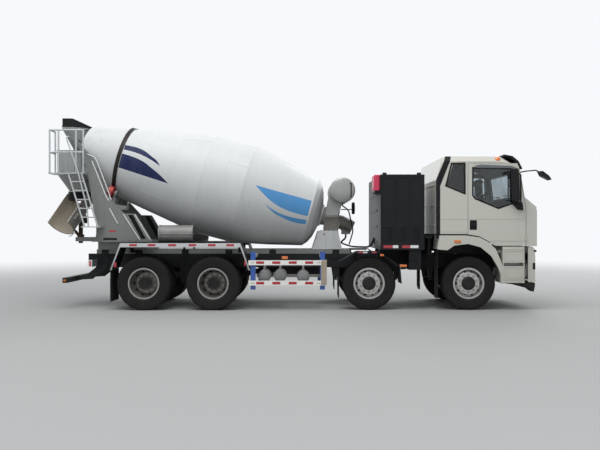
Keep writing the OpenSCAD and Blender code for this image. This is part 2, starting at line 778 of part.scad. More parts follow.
// The bumper's front edge in plan follows the cab's face
function bumper_x(y, back) = cab_front_x - 30 - back - sag(y * cab_w / (cab_w - 20));
bumper_ys = [for (i = [-6:6]) (cab_w - 20) * i / 6];

module bumper_slab(z0, z1, back) {
    translate([0, 0, z0]) linear_extrude(height = z1 - z0) polygon(concat(
        [for (y = bumper_ys) [bumper_x(y, back), y]],
        [for (i = [12:-1:0]) [bumper_x(bumper_ys[i], i == 0 || i == 12 ? 138 : 60), bumper_ys[i]]]));
}

module front_bumper() {
    color(cream) difference() {
        union() {
            bumper_slab(554, 1190, 0);
            bumper_slab(1190, 1213, 15);
            bumper_slab(1213, 1235, 34);
            both_sides() block([rail_front_x, rail_y - rail_flange, rail_z + 90],
                [bumper_x(rail_y, 30), rail_y, rail_top - 30]);
        }
        // openings: tow eye, lower air inlet, headlamps
        block([cab_front_x - 200, -90, rail_z + 80], [cab_front_x, 90, rail_z + 260]);
        block([cab_front_x - 200, -420, 620], [cab_front_x, 420, 760]);
        both_sides() block([cab_front_x - 260, 790, 840], [cab_front_x, 1150, 1060]);
    }
}

module lamps() {
    color("#c9cdd0") both_sides() {
        // headlamp filling its opening in the bumper
        intersection() {
            block([cab_front_x - 260, 790, 840], [cab_front_x, 1150, 1060]);
            bumper_slab(840, 1060, 6);
        }
        // tail lamp on the frame's end
        block([rail_rear_x + 133, 560, rail_z + 31], [rail_rear_x + 213, 900, rail_z + 170]);
        block([rail_rear_x + 150, rail_y + 16.3, rail_z + 60], [rail_rear_x + 200, 561, rail_z + 130]);
    }
}

module step_fenders() {
    x0 = axle_1_x + 637;
    color(cream) both_sides() union() {
        // wheel arch: lip, liner and its bracket
        difference() {
            side_plate(concat(arch_out, arch_in), 760, cab_w);
            side_plate([for (p = arch_out) [p[0] + (p[0] < axle_1_x - 500 ? 22 : -16), p[1] - 22],
                for (p = arch_in) p], 700, cab_w - 40);
        }
        block([axle_1_x - 140, rail_y - 40, rail_top], [axle_1_x - 80, rail_y, 1450]);
        block([axle_1_x - 140, rail_y - 40, 1410], [axle_1_x - 80, 790, 1450]);
        // step box under the door, with its two treads cut in
        difference() {
            block([x0, 850, 539], [hinge_x - 28, cab_w, door_z - 19]);
            block([x0 + 20, cab_w - 190, 862], [hinge_x - 48, cab_w + 1, 940]);
            block([x0 + 20, 870, 560], [hinge_x - 48, cab_w - 210, door_z]);
        }
        block([x0 + 120, rail_y, 900], [x0 + 200, 851, 960]);
    }
}

mid_guard = [[axle_2_x - 589, 946], [axle_2_x - 242, 1150], [axle_2_x + 168, 1150], [axle_2_x + 595, 856],
    [axle_2_x + 624, 527]];
rear_guard_x0 = axle_4_x - 455;
rear_guard_x1 = axle_3_x + 541;

module bent_sheet(points, t, y0, y1) {
    // a folded strip of sheet along a line of points, thickened downwards and inwards
    for (i = [1:len(points) - 1]) {
        a = points[i - 1];
        b = points[i];
        n = [b[1] - a[1], a[0] - b[0]] / norm(b - a) * t;
        side_plate([a, b, b + n, a + n], y0, y1);
    }
}

module mudguards() {
    color("#34373a") {
        both_sides() union() {
            bent_sheet(mid_guard, 14, 800, guard_y - 25);
            block([axle_2_x - 260, rail_y, rail_top - 40], [axle_2_x - 220, 801, rail_top]);
            block([axle_2_x - 260, 800, rail_top - 40], [axle_2_x - 220, 860, 1145]);
        }
        both_sides() union() {
            // over both driven axles: flat top, sloping ends, edge strip
            block([rear_guard_x0, 622, 1300], [rear_guard_x1, guard_y - 4, 1306]);
            block([rear_guard_x0, guard_y - 4, 1224], [rear_guard_x1, guard_y, 1319]);
            side_plate([[rear_guard_x0, 1306], [rear_guard_x0, 1224], [rear_guard_x0 - 163, 791],
                [rear_guard_x0 - 195, 791]], 700, guard_y);
            side_plate([[rear_guard_x1, 1306], [rear_guard_x1, 1224], [rear_guard_x1 + 150, 791],
                [rear_guard_x1 + 182, 791]], 700, guard_y);
            for (x = [rear_guard_x0 + 60, axle_3_x - 675, rear_guard_x1 - 100]) {
                block([x, rail_y, sub_top - 60], [x + 40, 650, sub_top - 10]);
                block([x, 622, sub_top - 60], [x + 40, 662, 1301]);
            }
        }
    }
}

module rubber_flaps() {
    color(black) {
        both_sides() {
            block([axle_1_x - tyre_r - 106, 880, 230], [axle_1_x - tyre_r - 94, 1200, 1191.8]);
            block([axle_2_x - 589 - 14, 860, 240], [axle_2_x - 589, 1180, 950]);
            block([rear_guard_x0 - 190, 640, 170], [rear_guard_x0 - 176, guard_y, 791]);
        }
        // dark lip under bumper and steps
        both_sides() side_plate([[axle_1_x + 609, 539], [cab_front_x - 165, 539], [cab_front_x - 165, 473],
            [cab_front_x - 190, 362], [cab_front_x - 330, 473]], 900, cab_w - 30);
        block([cab_front_x - 190, -900, 400], [cab_front_x - 165, 900, 554]);
    }
}

module rear_underrun() {
    color("#1c1e20") union() {
        block([rail_rear_x - 290, -1150, 532], [rail_rear_x - 190, 1150, 632]);
        both_sides() side_plate([[rail_rear_x - 290, 540], [rail_rear_x - 290, 620], [rail_rear_x - 20, 660],
            [rail_rear_x + 150, 800], [rail_rear_x + 240, 1000], [rail_rear_x + 440, 1000],
            [rail_rear_x + 390, 800], [rail_rear_x + 90, 560]], rail_y, rail_y + 16);
    }
}

// Drum and its drive

head_s = 220;
head_r = 720;

module drum() {
    t = drum_t;
    color("#dcdedd") drum_place() union() {
        rotate_extrude($fn = 128) polygon([[0, 0], [230, 0], [480, 60], [620, 130], [head_r, head_s],
            [shoulder_r, 900], [drum_r, cyl_s0], [drum_r, cyl_s1], [neck_r, ring_s], [mouth_r, drum_l],
            [mouth_r - t, drum_l], [neck_r - t, ring_s], [drum_r - t, cyl_s1], [drum_r - t, cyl_s0],
            [shoulder_r - t, 900], [head_r - t, head_s + t], [614, 130 + t], [477, 60 + t],
            [229, t], [0, t]]);
        translate([0, 0, -30]) cylinder(r = 230, h = 30);
        translate([0, 0, -130]) cylinder(r = stub_r, h = 131);
    }
}

module drum_ring() {
    // hardened track, its bore following the drum's cone
    slope = (neck_r - mouth_r) / (drum_l - ring_s);
    front = (drum_r - neck_r) / (ring_s - cyl_s1);
    half = ring_w / 2;
    color("#3b3d3f") drum_place() translate([0, 0, ring_s]) rotate_extrude($fn = 128)
        polygon([[neck_r + front * half + 0.4, -half], [ring_r, -half], [ring_r, half],
            [neck_r - slope * half + 0.4, half], [neck_r + 0.4, 0]]);
}

module drum_gearbox() {
    color("#77736b") union() {
        difference() {
            union() {
                drum_place() translate([0, 0, -35 - gearbox_l]) cylinder(r = gearbox_r, h = gearbox_l);
                side_plate([[700, 1553], [1010, 1553], [1046, 1700], [1010, 1880], [760, 1880], [718, 1700]],
                    -170, 170);
                block([tank_x - 325, -225, 1836], [tank_x - 70, 225, 1880]);
                for (i = [0:5]) translate([760 + 48 * i, 0, 1565]) rotate([0, -drum_tilt, 0])
                    translate([0, -205, 0]) cube([12, 410, 270]);
            }
            drum_place() translate([0, 0, -135]) cylinder(r = stub_r + fit, h = 120);
            drum_place() translate([0, 0, -35]) cylinder(r = 260, h = 100);
        }
        // its electric motor hanging ahead of it, with the cable box
        rod([1000, 0, 1770], [1320, 0, 1615], 135);
        block([1090, -90, 1480], [1270, 90, 1640]);
    }
}

module water_tank() {
    color("#8d8f8c") union() {
        cross_bar(tank_x, tank_z, tank_r, -tank_half, tank_half);
        for (y = [-tank_half - 18, tank_half]) cross_bar(tank_x, tank_z, tank_r - 30, y, y + 18);
        for (y = [-tank_half + 90, 0, tank_half - 110]) cross_bar(tank_x, tank_z, tank_r + 8, y, y + 20);
        both_sides() side_plate([[tank_x - 325, 1880.3], [tank_x - 70, 1880.3],
            [tank_x + 20, tank_z - tank_r - 12], [tank_x + 190, tank_z - 170], [tank_x, tank_z],
            [tank_x - 246, tank_z - 40], [tank_x - 300, 2070]], 192, 222);
    }
}

module front_pedestal() {
    color("#b9bdbc") union() {
        both_sides() difference() {
            side_plate([[581, 1541], [1000, 1541], [1080, sub_top], [458, sub_top]], rail_y - 30, rail_y);
            cross_bar(700, 1480, 28, rail_y - 40, rail_y + 10);
        }
        block([581, -rail_y, 1541], [1010, rail_y, 1553]);
        block([700, -rail_y + 30, sub_top], [720, rail_y - 30, 1541]);
    }
}

// Rear pedestal, hopper and collector

ped_outline = [[ped_front_x, ped_deck], [-3094, 1895], [-3330, 1900], [-3578, 2175],
    [-3676, 2285], [-3948, 3014], [-3990, 3060], [-4330, 3440],
    [-4420, 3440], [-4136, 3110], [-4086, 2840], [-4330, 2840], [-4330, 2720], [-4060, 2720],
    [-3900, 1760], [-3844, 1568], [-3900, ped_deck]];
beam_z = 2095;

module roller_bracket() {
    // two plates that carry a roller's shaft, square to the drum's axis
    cx = -roller_reach * cos(roller_a);
    cy = roller_reach * sin(roller_a);
    for (s = [-100, 80]) drum_place() translate([0, 0, ring_s + s]) difference() {
        linear_extrude(height = 20) polygon([[cx - 290, cy - 115], [cx - 290, cy + 55], [cx - 26, cy + 55],
            [cx + 38, cy + 35], [cx + 38, cy - 35], [cx - 26, cy - 65]]);
        translate([cx, cy, -1]) cylinder(r = 35 + fit, h = 22);
    }
}

module rear_pedestal() {
    color("#8b908e") union() {
        both_sides() {
            difference() {
                side_plate(ped_outline, ped_y, ped_y + ped_t);
                side_plate([[-3244, 1872], [-3144, 1872], [-2880, ped_deck + 25], [-2980, ped_deck + 25]],
                    ped_y - 1, ped_y + ped_t + 1);
            }
            roller_bracket();
            // spacers to the collector's and the hopper's sides
            block([chute_x + 110, collector_w, 2740], [chute_x + 190, ped_y, 2820]);
            block([chute_x + 40, hopper_w - 60, 3360], [chute_x + 95, ped_y, 3420]);
        }
        block([ped_rear_x, -ped_y - ped_t, ped_z], [ped_front_x, ped_y + ped_t, ped_deck]);
        block([ped_rear_x + 75, -590, sub_top], [ped_front_x - 125, 590, ped_z]);
        block([-3830, -ped_y, beam_z - 95], [-3580, ped_y, beam_z]);
        block([-3900, -ped_y, ped_deck], [-3870, ped_y, 1760]);
        // bearing of the chute's post
        difference() {
            block([chute_x - 85, -85, ped_z], [ped_rear_x, 85, ped_z + 90]);
            translate([chute_x, 0, ped_z - 1]) cylinder(r = post_r + fit, h = 92);
        }
    }
}

module roller(side) {
    cx = -roller_reach * cos(roller_a);
    cy = side * roller_reach * sin(roller_a);
    color("#8e2f2c") drum_place() translate([cx, cy, ring_s]) {
        translate([0, 0, -45]) cylinder(r = roller_r, h = 90);
        translate([0, 0, -112]) cylinder(r = 35, h = 224);
    }
}

module hopper_plan(grow) {
    // flat at the back, round towards the drum
    intersection() {
        union() {
            translate([chute_x - 160, 0]) circle(r = hopper_w + grow);
            translate([chute_x - 400 - grow, -hopper_w - grow]) square([240 + grow, 2 * (hopper_w + grow)]);
        }
        translate([chute_x - 246 - grow, -2 * hopper_w]) square([4 * hopper_w, 4 * hopper_w]);
    }
}

module hopper_solid(grow) {
    hull() {
        translate([0, 0, hopper_z - 40]) linear_extrude(height = 40) hopper_plan(grow);
        block([chute_x - 50 - grow, -190 - grow, 3180], [chute_x + 95 + grow, 190 + grow, 3200]);
    }
}

module hopper() {
    color("#6f7472") difference() {
        union() {
            hopper_solid(0);
            side_plate([[chute_x - 50, 3260], [chute_x + 105, 3260], [chute_x + 340, 3090],
                [chute_x + 320, 3020], [chute_x - 50, 3110]], -190, 190);
            both_sides() block([chute_x + 40, 300, 3370], [chute_x + 95, hopper_w - 60, 3410]);
        }
        hopper_solid(-sheet_t);
        translate([0, 0, hopper_z - 30]) linear_extrude(height = 31) hopper_plan(-sheet_t);
        side_plate([[chute_x - 42, 3270], [chute_x + 90, 3270], [chute_x + 345, 3084],
            [chute_x + 350, 3025], [chute_x - 42, 3118]], -182, 182);
    }
}

module hopper_rubber() {
    color("#141516") {
        // collar round the hopper's top, lower towards the drum
        difference() {
            translate([0, 0, hopper_z]) linear_extrude(height = rim_h) difference() {
                hopper_plan(0);
                hopper_plan(-16);
            }
            side_plate([[chute_x - 40, hopper_z + rim_h + 1], [chute_x + 300, hopper_z + rim_h + 1],
                [chute_x + 300, hopper_z + rim_h - 150]], -hopper_w - 1, hopper_w + 1);
        }
        // sleeve round the collector's throat
        translate([chute_x, 0, throat_z - 190]) difference() {
            cylinder(r = throat_r + 28, h = 189.7);
            translate([0, 0, -1]) cylinder(r = throat_r + 0.3, h = 202);
        }
    }
}

module collector_solid(t) {
    x0 = chute_x - 277;
    x1 = chute_x + 204;
    union() {
        block([x0 + t, -collector_w + t, 2700], [x1 - t, collector_w - t, 3189 + t]);
        hull() {
            block([x0 + t, -collector_w + t, 2699], [x1 - t, collector_w - t, 2701]);
            translate([chute_x, 0, throat_z]) cylinder(r = throat_r - t, h = 40);
        }
    }
}

module collector() {
    color("#7d8280") difference() {
        union() {
            collector_solid(0);
            translate([chute_x, 0, throat_z - 60]) cylinder(r = throat_r, h = 100);
        }
        collector_solid(sheet_t);
        translate([chute_x, 0, throat_z - 61]) cylinder(r = throat_r - sheet_t, h = 110);
        // room for the drum's turning mouth
        drum_place() translate([0, 0, drum_l - 500])
            cylinder(r1 = neck_r - 70, r2 = mouth_r + 25, h = 530);
    }
}

deck_x0 = chute_x - 318;
deck_x1 = chute_x + 380;
rail_h2 = 850;

module service_platform() {
    y0 = -deck_y;
    y1 = -deck_y + 350;
    yr = -deck_y + tube_r;
    top = deck_z + rail_h2;
    color("#a4a8a6") union() {
        block([deck_x0, y0, deck_z - 20], [deck_x1, y1, deck_z]);
        for (x = [chute_x - 240, chute_x + 60]) block([x, y1, deck_z], [x + 50, -collector_w, deck_z + 40]);
        for (x = [chute_x - 240, chute_x + 60]) block([x, y1 - 60, deck_z - 1], [x + 50, y1, deck_z + 40]);
        // cage: outer posts, rear posts, two rails
        for (p = [[deck_x0 + tube_r, yr], [deck_x0 + 193, yr], [deck_x1 - 160, yr],
            [deck_x1 - tube_r, yr], [deck_x0 + tube_r, y1 - tube_r]])
            rod([p[0], p[1], deck_z - 1], [p[0], p[1], top], tube_r);
        for (h = [top, deck_z + 408]) tube([[deck_x1 - tube_r, yr, h], [deck_x0 + tube_r, yr, h],
            [deck_x0 + tube_r, y1 - tube_r, h]], tube_r - 1);
        // ladder: two stringers, its rungs, the shelf it stands on, and the long handrail
        for (x = [0, 260]) rod([-4050 + x, yr, 1639], [-4368 + x, yr, deck_z - 19], tube_r);
        for (z = [1995, 2350]) {
            x = -4050 - (z - 1640) * 318 / 1060;
            rod([x, yr, z], [x + 260, yr, z], 13);
        }
        block([-4100, -1060, 1620], [-3720, -ped_y - ped_t, 1640]);
        tube([[-3960, -1040, 1639], [-3985, -1040, 2006], [-4169, -1040, 2736], [-4392, -1040, 3380],
            [chute_x + 40, -960, 3428], [chute_x + 40, -ped_y - ped_t - 0.3, 3428]], 14);
    }
}

module spare_chutes() {
    // half-round extension pieces stowed on the rear mudguards, with their bands
    r = 182;
    color("#9b9fa0") both_sides() translate([axle_3_x - 1080, guard_y - 235, 1306 + r]) rotate([0, 90, 0])
        difference() {
            union() {
                cylinder(r = r - 6, h = 676);
                for (x = [0, 320, 646]) translate([0, 0, x]) cylinder(r = r, h = 30);
            }
            translate([0, 0, -1]) cylinder(r = r - 12, h = 700);
            translate([-r - 1, -r - 1, -1]) cube([2 * r + 2, r + 1, 700]);
        }
}

// Discharge chute, in its own slewed frame: x outwards, y across, z up

chute_u = 175;
chute_axis_z = 2110;
chute_up = 230;
hinge_u = -80;
hinge_z = 1850;

module chute_frame() {
    translate([chute_x, 0, 0]) rotate([0, 0, 180 + chute_slew]) children();
}

module chute_post() {
    color("#5a4a40") chute_frame() union() {
        translate([0, 0, ped_z - 40]) cylinder(r = post_r, h = 1770 - ped_z + 40);
        translate([0, 0, ped_z + 90.3]) cylinder(r = post_r + 25, h = 25);
        block([-120, -62, 1710], [40, 62, 1765]);
        both_sides() difference() {
            side_plate([[-125, 1764], [-35, 1764], [-50, 1876], [-112, 1876]], 38, 62);
            cross_bar(hinge_u, hinge_z, 16 + fit, 30, 70);
        }
        // screw jack, open at its upper eye
        side_plate([[30, 1450], [90, 1450], [90, 1500], [30, 1500]], -25, 25);
        rod([70, 0, 1470], [140, 0, 1540], 30);
        rod([120, 0, 1520], [196, 0, 1596], 18);
    }
}

module trough_section(r) {
    union() {
        circle(r = r);
        translate([-chute_wall - 20, -r]) square([chute_wall + 20, 2 * r]);
    }
}

module chute() {
    color("#8d8880") chute_frame() union() {
        // half-round trough, its straight walls cut to their height
        translate([chute_u, 0, chute_axis_z]) rotate([0, 90 + chute_slope, 0]) translate([0, 0, -chute_up]) {
            linear_extrude(height = chute_l) difference() {
                trough_section(chute_r);
                trough_section(chute_r - sheet_t);
                translate([-2 * chute_r - chute_wall, -chute_r - 1]) square([2 * chute_r, 2 * chute_r + 2]);
            }
        }
        // hinge lug under it, and its pin
        difference() {
            side_plate([[hinge_u - 20, hinge_z - 26], [hinge_u + 20, hinge_z - 26],
                [hinge_u + 44, hinge_z + 66], [hinge_u - 60, hinge_z + 190]], -32, 32);
            translate([chute_u, 0, chute_axis_z]) rotate([0, 90 + chute_slope, 0])
                translate([0, 0, -chute_up]) cylinder(r = chute_r - sheet_t, h = chute_l);
        }
        cross_bar(hinge_u, hinge_z, 16, -66, 66);
    }
}

// Every node, drawn by its name

chassis_frame();
sub_frame();
axle_beams();
leaf_springs();
drive_line();
battery_box();
control_box();
air_tanks();
side_guards();
front_bumper();
lamps();
step_fenders();
mudguards();
rubber_flaps();
rear_underrun();
front_pedestal();
drum_gearbox();
water_tank();
rear_pedestal();
hopper();
hopper_rubber();
collector();
service_platform();
spare_chutes();
chute_post();
chute();
drum();
drum_ring();
roller(-1);  // roller_r
roller(1);  // roller_l
cab_shell();
cab_glass();
cab_trim();
cab_interior();
door(-1);  // door_r
door(1);  // door_l
door_glass(-1);  // door_glass_r
door_glass(1);  // door_glass_l
mirror_arm(-1);  // mirror_r
mirror_arm(1);  // mirror_l
knuckle(axle_1_x, -1);  // knuckle_1r
knuckle(axle_1_x, 1);  // knuckle_1l
knuckle(axle_2_x, -1);  // knuckle_2r
knuckle(axle_2_x, 1);  // knuckle_2l

// Wheels: steered pairs first, then the driven ones
for (w = [["1r", axle_1_x, -1], ["1l", axle_1_x, 1], ["2r", axle_2_x, -1], ["2l", axle_2_x, 1]]) {
    wheel_place(w[1], steer_track, w[2]) {
        color("#b8babb") steer_rim();
        color("#1b1c1d") tyre_ring();
    }
}
for (w = [["3r", axle_3_x, -1], ["3l", axle_3_x, 1], ["4r", axle_4_x, -1], ["4l", axle_4_x, 1]]) {
    wheel_place(w[1], dual_outer_y, w[2]) {
        color("#6d7072") drive_rim();
        color("#1b1c1d") {
            tyre_ring();
            translate([0, 0, -dual_gap]) tyre_ring();
        }
    }
}
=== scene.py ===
import math

import bpy
from mathutils import Matrix, Vector


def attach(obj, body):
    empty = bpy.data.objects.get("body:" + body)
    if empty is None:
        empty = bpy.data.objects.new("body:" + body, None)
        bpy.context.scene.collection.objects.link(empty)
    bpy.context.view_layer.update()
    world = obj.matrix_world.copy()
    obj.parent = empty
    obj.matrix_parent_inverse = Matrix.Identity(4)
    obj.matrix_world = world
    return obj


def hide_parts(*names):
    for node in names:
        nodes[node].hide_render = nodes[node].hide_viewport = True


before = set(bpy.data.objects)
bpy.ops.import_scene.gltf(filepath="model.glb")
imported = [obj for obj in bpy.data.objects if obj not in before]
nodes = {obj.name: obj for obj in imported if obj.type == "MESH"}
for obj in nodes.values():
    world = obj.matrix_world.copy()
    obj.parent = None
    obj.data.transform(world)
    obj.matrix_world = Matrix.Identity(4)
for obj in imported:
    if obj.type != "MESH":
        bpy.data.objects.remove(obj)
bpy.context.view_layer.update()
scene = bpy.context.scene

# Camera. It stands well off the truck's right side at a tall person's eye height,
# level and square to the truck, with a long lens so that both ends show nearly flat.
bpy.ops.object.camera_add(location=(0.295, -14.85, 1.568), rotation=(math.radians(90), 0, 0))
camera = bpy.context.object
camera.data.sensor_width, camera.data.lens = 36, 42
camera.data.shift_x, camera.data.shift_y = -4 / 600, 5 / 600
camera.data.clip_end = 200
scene.camera = camera

# Ground and light. A pale concrete yard floor that fades into a white backdrop, an overcast sky that
# lights from overhead more than from the horizon, one big soft lamp high on the camera's side, and a
# weaker one from the rear for the edges.
backdrop_white = (0.93, 0.95, 0.97, 1)
bpy.ops.mesh.primitive_circle_add(vertices=96, radius=90, fill_type="NGON")
ground = bpy.context.object
ground.name = "ground"
ground_coat = bpy.data.materials.new("pale_concrete_floor")
ground_coat.use_nodes = True
tree = ground_coat.node_tree
floor = tree.nodes["Principled BSDF"]
floor.inputs["Base Color"].default_value = (0.33, 0.33, 0.325, 1)
floor.inputs["Roughness"].default_value = 0.8


def wire(tree, kind, settings=None, **inputs):
    """Adds one shader node; an input is a number, a colour or another node's output."""
    made = tree.nodes.new("ShaderNode" + kind)
    for key, value in (settings or {}).items():
        setattr(made, key, value)
    for key, value in inputs.items():
        socket = made.inputs[int(key[1:])] if key[1:].isdigit() else made.inputs[key.replace("_", " ")]
        if isinstance(value, bpy.types.NodeSocket):
            tree.links.new(value, socket)
        else:
            socket.default_value = value
    return made


away = wire(tree, "VectorMath", {"operation": "LENGTH"}, i0=wire(tree, "TexCoord").outputs["Object"])
fade = wire(tree, "MapRange", {"interpolation_type": "SMOOTHSTEP"}, i0=away.outputs["Value"], i1=5.0, i2=26.0)
backdrop = wire(tree, "Emission", Color=backdrop_white)
mixed = wire(tree, "MixShader", i0=fade.outputs[0], i1=floor.outputs[0], i2=backdrop.outputs[0])
tree.links.new(mixed.outputs[0], tree.nodes["Material Output"].inputs["Surface"])
ground.data.materials.append(ground_coat)
scene.world = bpy.data.worlds.new("overcast_sky")
scene.world.use_nodes = True
tree = scene.world.node_tree
sky = tree.nodes["Background"]
sky.inputs["Color"].default_value = (0.93, 0.96, 1.0, 1)
height = wire(tree, "SeparateXYZ", i0=wire(tree, "TexCoord").outputs["Generated"]).outputs[2]
tree.links.new(wire(tree, "MapRange", i0=height, i3=0.2, i4=1.05).outputs[0], sky.inputs["Strength"])
seen = wire(tree, "Background", Color=backdrop_white)
ray = wire(tree, "LightPath").outputs
direct = wire(tree, "Math", {"operation": "MAXIMUM"}, i0=ray["Is Camera Ray"], i1=ray["Is Glossy Ray"])
direct = wire(tree, "Math", {"operation": "MAXIMUM"}, i0=direct.outputs[0], i1=ray["Is Transmission Ray"])
mixed = wire(tree, "MixShader", i0=direct.outputs[0], i1=sky.outputs[0], i2=seen.outputs[0])
tree.links.new(mixed.outputs[0], tree.nodes["World Output"].inputs["Surface"])


def soft_lamp(name, place, aim, watts, size):
    """A big square lamp at a place, turned to face a point."""
    bpy.ops.object.light_add(type="AREA", location=place)
    lamp = bpy.context.object
    lamp.name = name
    lamp.rotation_euler = (Vector(aim) - Vector(place)).to_track_quat("-Z", "Y").to_euler()
    lamp.data.energy, lamp.data.size = watts, size


soft_lamp("key_lamp", (-2.0, -6.0, 13.0), (0.0, 0.0, 1.2), 1250, 9)
soft_lamp("edge_lamp", (7.0, 9.0, 9.0), (0.5, 0.0, 1.5), 600, 7)
scene.view_settings.view_transform = "Standard"


# Chassis frame. Two pressed steel channel rails with cross members and towing forks,
# painted black, riveted along the webs, and dusty from the road.
def tint(colour, factor):
    """A colour made lighter or darker, with its alpha."""
    return tuple((min(1.0, c * factor) for c in colour[:3])) + (1.0,)


def coat(name, colour, rough, metal=0.0, cloud=0.08, cloud_scale=1.2, grain=0.15, grain_scale=90.0,
         streak=0.0, dust=0.0, dust_top=1.2, dust_colour=(0.36, 0.33, 0.29), gloss_coat=0.0):
    """A finish with broad uneven tone, fine grain, rain streaks, and road dust from the ground up."""
    made = bpy.data.materials.new(name)
    made.use_nodes = True
    tree = made.node_tree
    shader = tree.nodes["Principled BSDF"]
    if max(colour) < 0.1 and metal < 0.5:
        # weathered black: it mirrors little of the sky, and the dust on it is thin
        shader.inputs["Specular IOR Level"].default_value = 0.14
        colour, dust, dust_colour = tint(colour, 0.8)[:3], dust * 0.4, (0.16, 0.145, 0.13)
    place = wire(tree, "TexCoord").outputs["Object"]

    def blend(amount, under, over):
        return wire(tree, "Mix", {"data_type": "RGBA"}, i0=amount, i6=under, i7=over).outputs[2]

    def ramp(value, low, high, start, end):
        return wire(tree, "MapRange", i0=value, i1=low, i2=high, i3=start, i4=end).outputs[0]

    clouds = wire(tree, "TexNoise", Vector=place, Scale=cloud_scale, Detail=5.0).outputs["Fac"]
    tone = blend(clouds, tint(colour, 1 - cloud), tint(colour, 1 + cloud))
    if streak:
        tall = wire(tree, "Mapping", Vector=place, Scale=(1.0, 1.0, 0.06)).outputs[0]
        runs = wire(tree, "TexNoise", Vector=tall, Scale=14.0, Detail=3.0).outputs["Fac"]
        tone = blend(ramp(runs, 0.5, 0.75, 0.0, streak), tone, tint(colour, 0.55))
    if dust:
        low = ramp(wire(tree, "SeparateXYZ", i0=place).outputs[2], 0.1, dust_top, 1.0, 0.0)
        patches = wire(tree, "TexNoise", Vector=place, Scale=5.0, Detail=6.0).outputs["Fac"]
        low = wire(tree, "Math", {"operation": "MULTIPLY"}, i0=low, i1=patches).outputs[0]
        low = wire(tree, "Math", {"operation": "MULTIPLY", "use_clamp": True}, i0=low, i1=2 * dust).outputs[0]
        tone = blend(low, tone, dust_colour + (1.0,))
    tree.links.new(tone, shader.inputs["Base Color"])
    fine = wire(tree, "TexNoise", Vector=place, Scale=grain_scale, Detail=3.0).outputs["Fac"]
    gloss = ramp(fine, 0.25, 0.75, max(0.03, rough - 0.07), min(1.0, rough + 0.07))
    tree.links.new(gloss, shader.inputs["Roughness"])
    relief = wire(tree, "Bump", Height=fine, Strength=grain, Distance=0.002)
    tree.links.new(relief.outputs[0], shader.inputs["Normal"])
    shader.inputs["Metallic"].default_value = metal
    shader.inputs["Coat Weight"].default_value = gloss_coat
    shader.inputs["Coat Roughness"].default_value = 0.08
    return made


frame_black = coat("frame_black_paint", (0.022, 0.023, 0.025), 0.5, cloud=0.25, dust=0.18, dust_top=1.2)


def dress(finish, *names):
    """Gives CAD nodes their finish."""
    for name in names:
        nodes[name].data.materials.clear()
        nodes[name].data.materials.append(finish)


dress(frame_black, "chassis_frame")

# Rivets and bolts in the frame rails: pairs along both webs, and clusters at the cross members.
places = [(x / 100, 0.43, z) for x in range(-390, 470, 28) for z in (0.86, 1.02) if not 440 < x < 490]


def begin(place, kind="cube", **sizes):
    """Adds one primitive with nothing else selected."""
    bpy.ops.object.select_all(action="DESELECT")
    getattr(bpy.ops.mesh, "primitive_" + kind + "_add")(location=place, **sizes)
    return bpy.context.object


def edit(choose="SELECT"):
    """Opens the active piece for editing, with all or nothing selected."""
    bpy.ops.object.mode_set(mode="EDIT")
    bpy.ops.mesh.select_all(action=choose)


def done(piece, angle=35):
    """Closes editing, fixes the place in the mesh and shades by angle."""
    if bpy.context.mode != "OBJECT":
        bpy.ops.object.mode_set(mode="OBJECT")
    bpy.ops.object.select_all(action="DESELECT")
    bpy.context.view_layer.objects.active = piece
    piece.select_set(True)
    bpy.ops.object.transform_apply(location=True, rotation=True, scale=True)
    bpy.ops.object.shade_smooth_by_angle(angle=math.radians(angle))
    return piece


def copied(piece, move=(0, 0, 0), flip=False):
    """Another of the same piece with its own mesh, moved or mirrored to the other side."""
    made = piece.copy()
    made.data = piece.data.copy()
    scene.collection.objects.link(made)
    if flip:
        made.data.transform(Matrix.Diagonal((1, -1, 1, 1)))
        made.data.flip_normals()
    made.data.transform(Matrix.Translation(move))
    return made


def both(piece):
    """The piece and its mirror image on the other side."""
    return [piece, copied(piece, flip=True)]


def joined(parts):
    """Several parts made one piece."""
    bpy.ops.object.select_all(action="DESELECT")
    for part in parts:
        part.select_set(True)
    bpy.context.view_layer.objects.active = parts[0]
    if len(parts) > 1:
        bpy.ops.object.join()
    return parts[0]


def fit(name, parts, finish, body="chassis", stands_for=()):
    """Joins parts as one named piece, with its material and body, and hides the nodes that it replaces."""
    piece = joined(parts)
    piece.name = name
    piece.data.materials.clear()
    piece.data.materials.append(finish)
    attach(piece, body)
    if stands_for:
        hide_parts(*stands_for)


def fit_pair(name, parts, finish, body="chassis"):
    """The same for parts of the right side, together with their mirror image on the left."""
    fit(name, both(joined(parts)), finish, body)


def bolt_head(place, axis, radius=0.012):
    """A washer and a chamfered hexagon head, pointing along an axis."""
    head = begin((0, 0, radius * 0.55), "cylinder", vertices=6, radius=radius, depth=radius * 0.8)
    done(head)
    edit()
    bpy.ops.mesh.bevel(offset=radius * 0.12, segments=1, affect="EDGES")
    done(head, 25)
    washer = begin((0, 0, radius * 0.08), "cylinder", vertices=16, radius=radius * 1.35, depth=radius * 0.16)
    bolt = joined([head, done(washer, 25)])
    spin = Vector((0, 0, 1)).rotation_difference(Vector(axis).normalized()).to_matrix().to_4x4()
    bolt.data.transform(Matrix.Translation(place) @ spin)
    return bolt


def bolt_row(places, axis, radius=0.012):
    """The same bolt head at each place, as one piece."""
    first = bolt_head((0, 0, 0), axis, radius)
    rest = [copied(first, p) for p in places[1:]]
    first.data.transform(Matrix.Translation(places[0]))
    return joined([first] + rest)


fit_pair("rail_bolts", [bolt_row(places, (0, 1, 0), 0.011)], frame_black)

# Sub-frame. Light grey box members between truck and mixer body, clamped down by plates.
body_grey = coat("body_grey_paint", (0.175, 0.185, 0.178), 0.42, cloud=0.1, streak=0.35, dust=0.15, dust_top=1.6,
    gloss_coat=0.2)
dress(body_grey, "sub_frame")


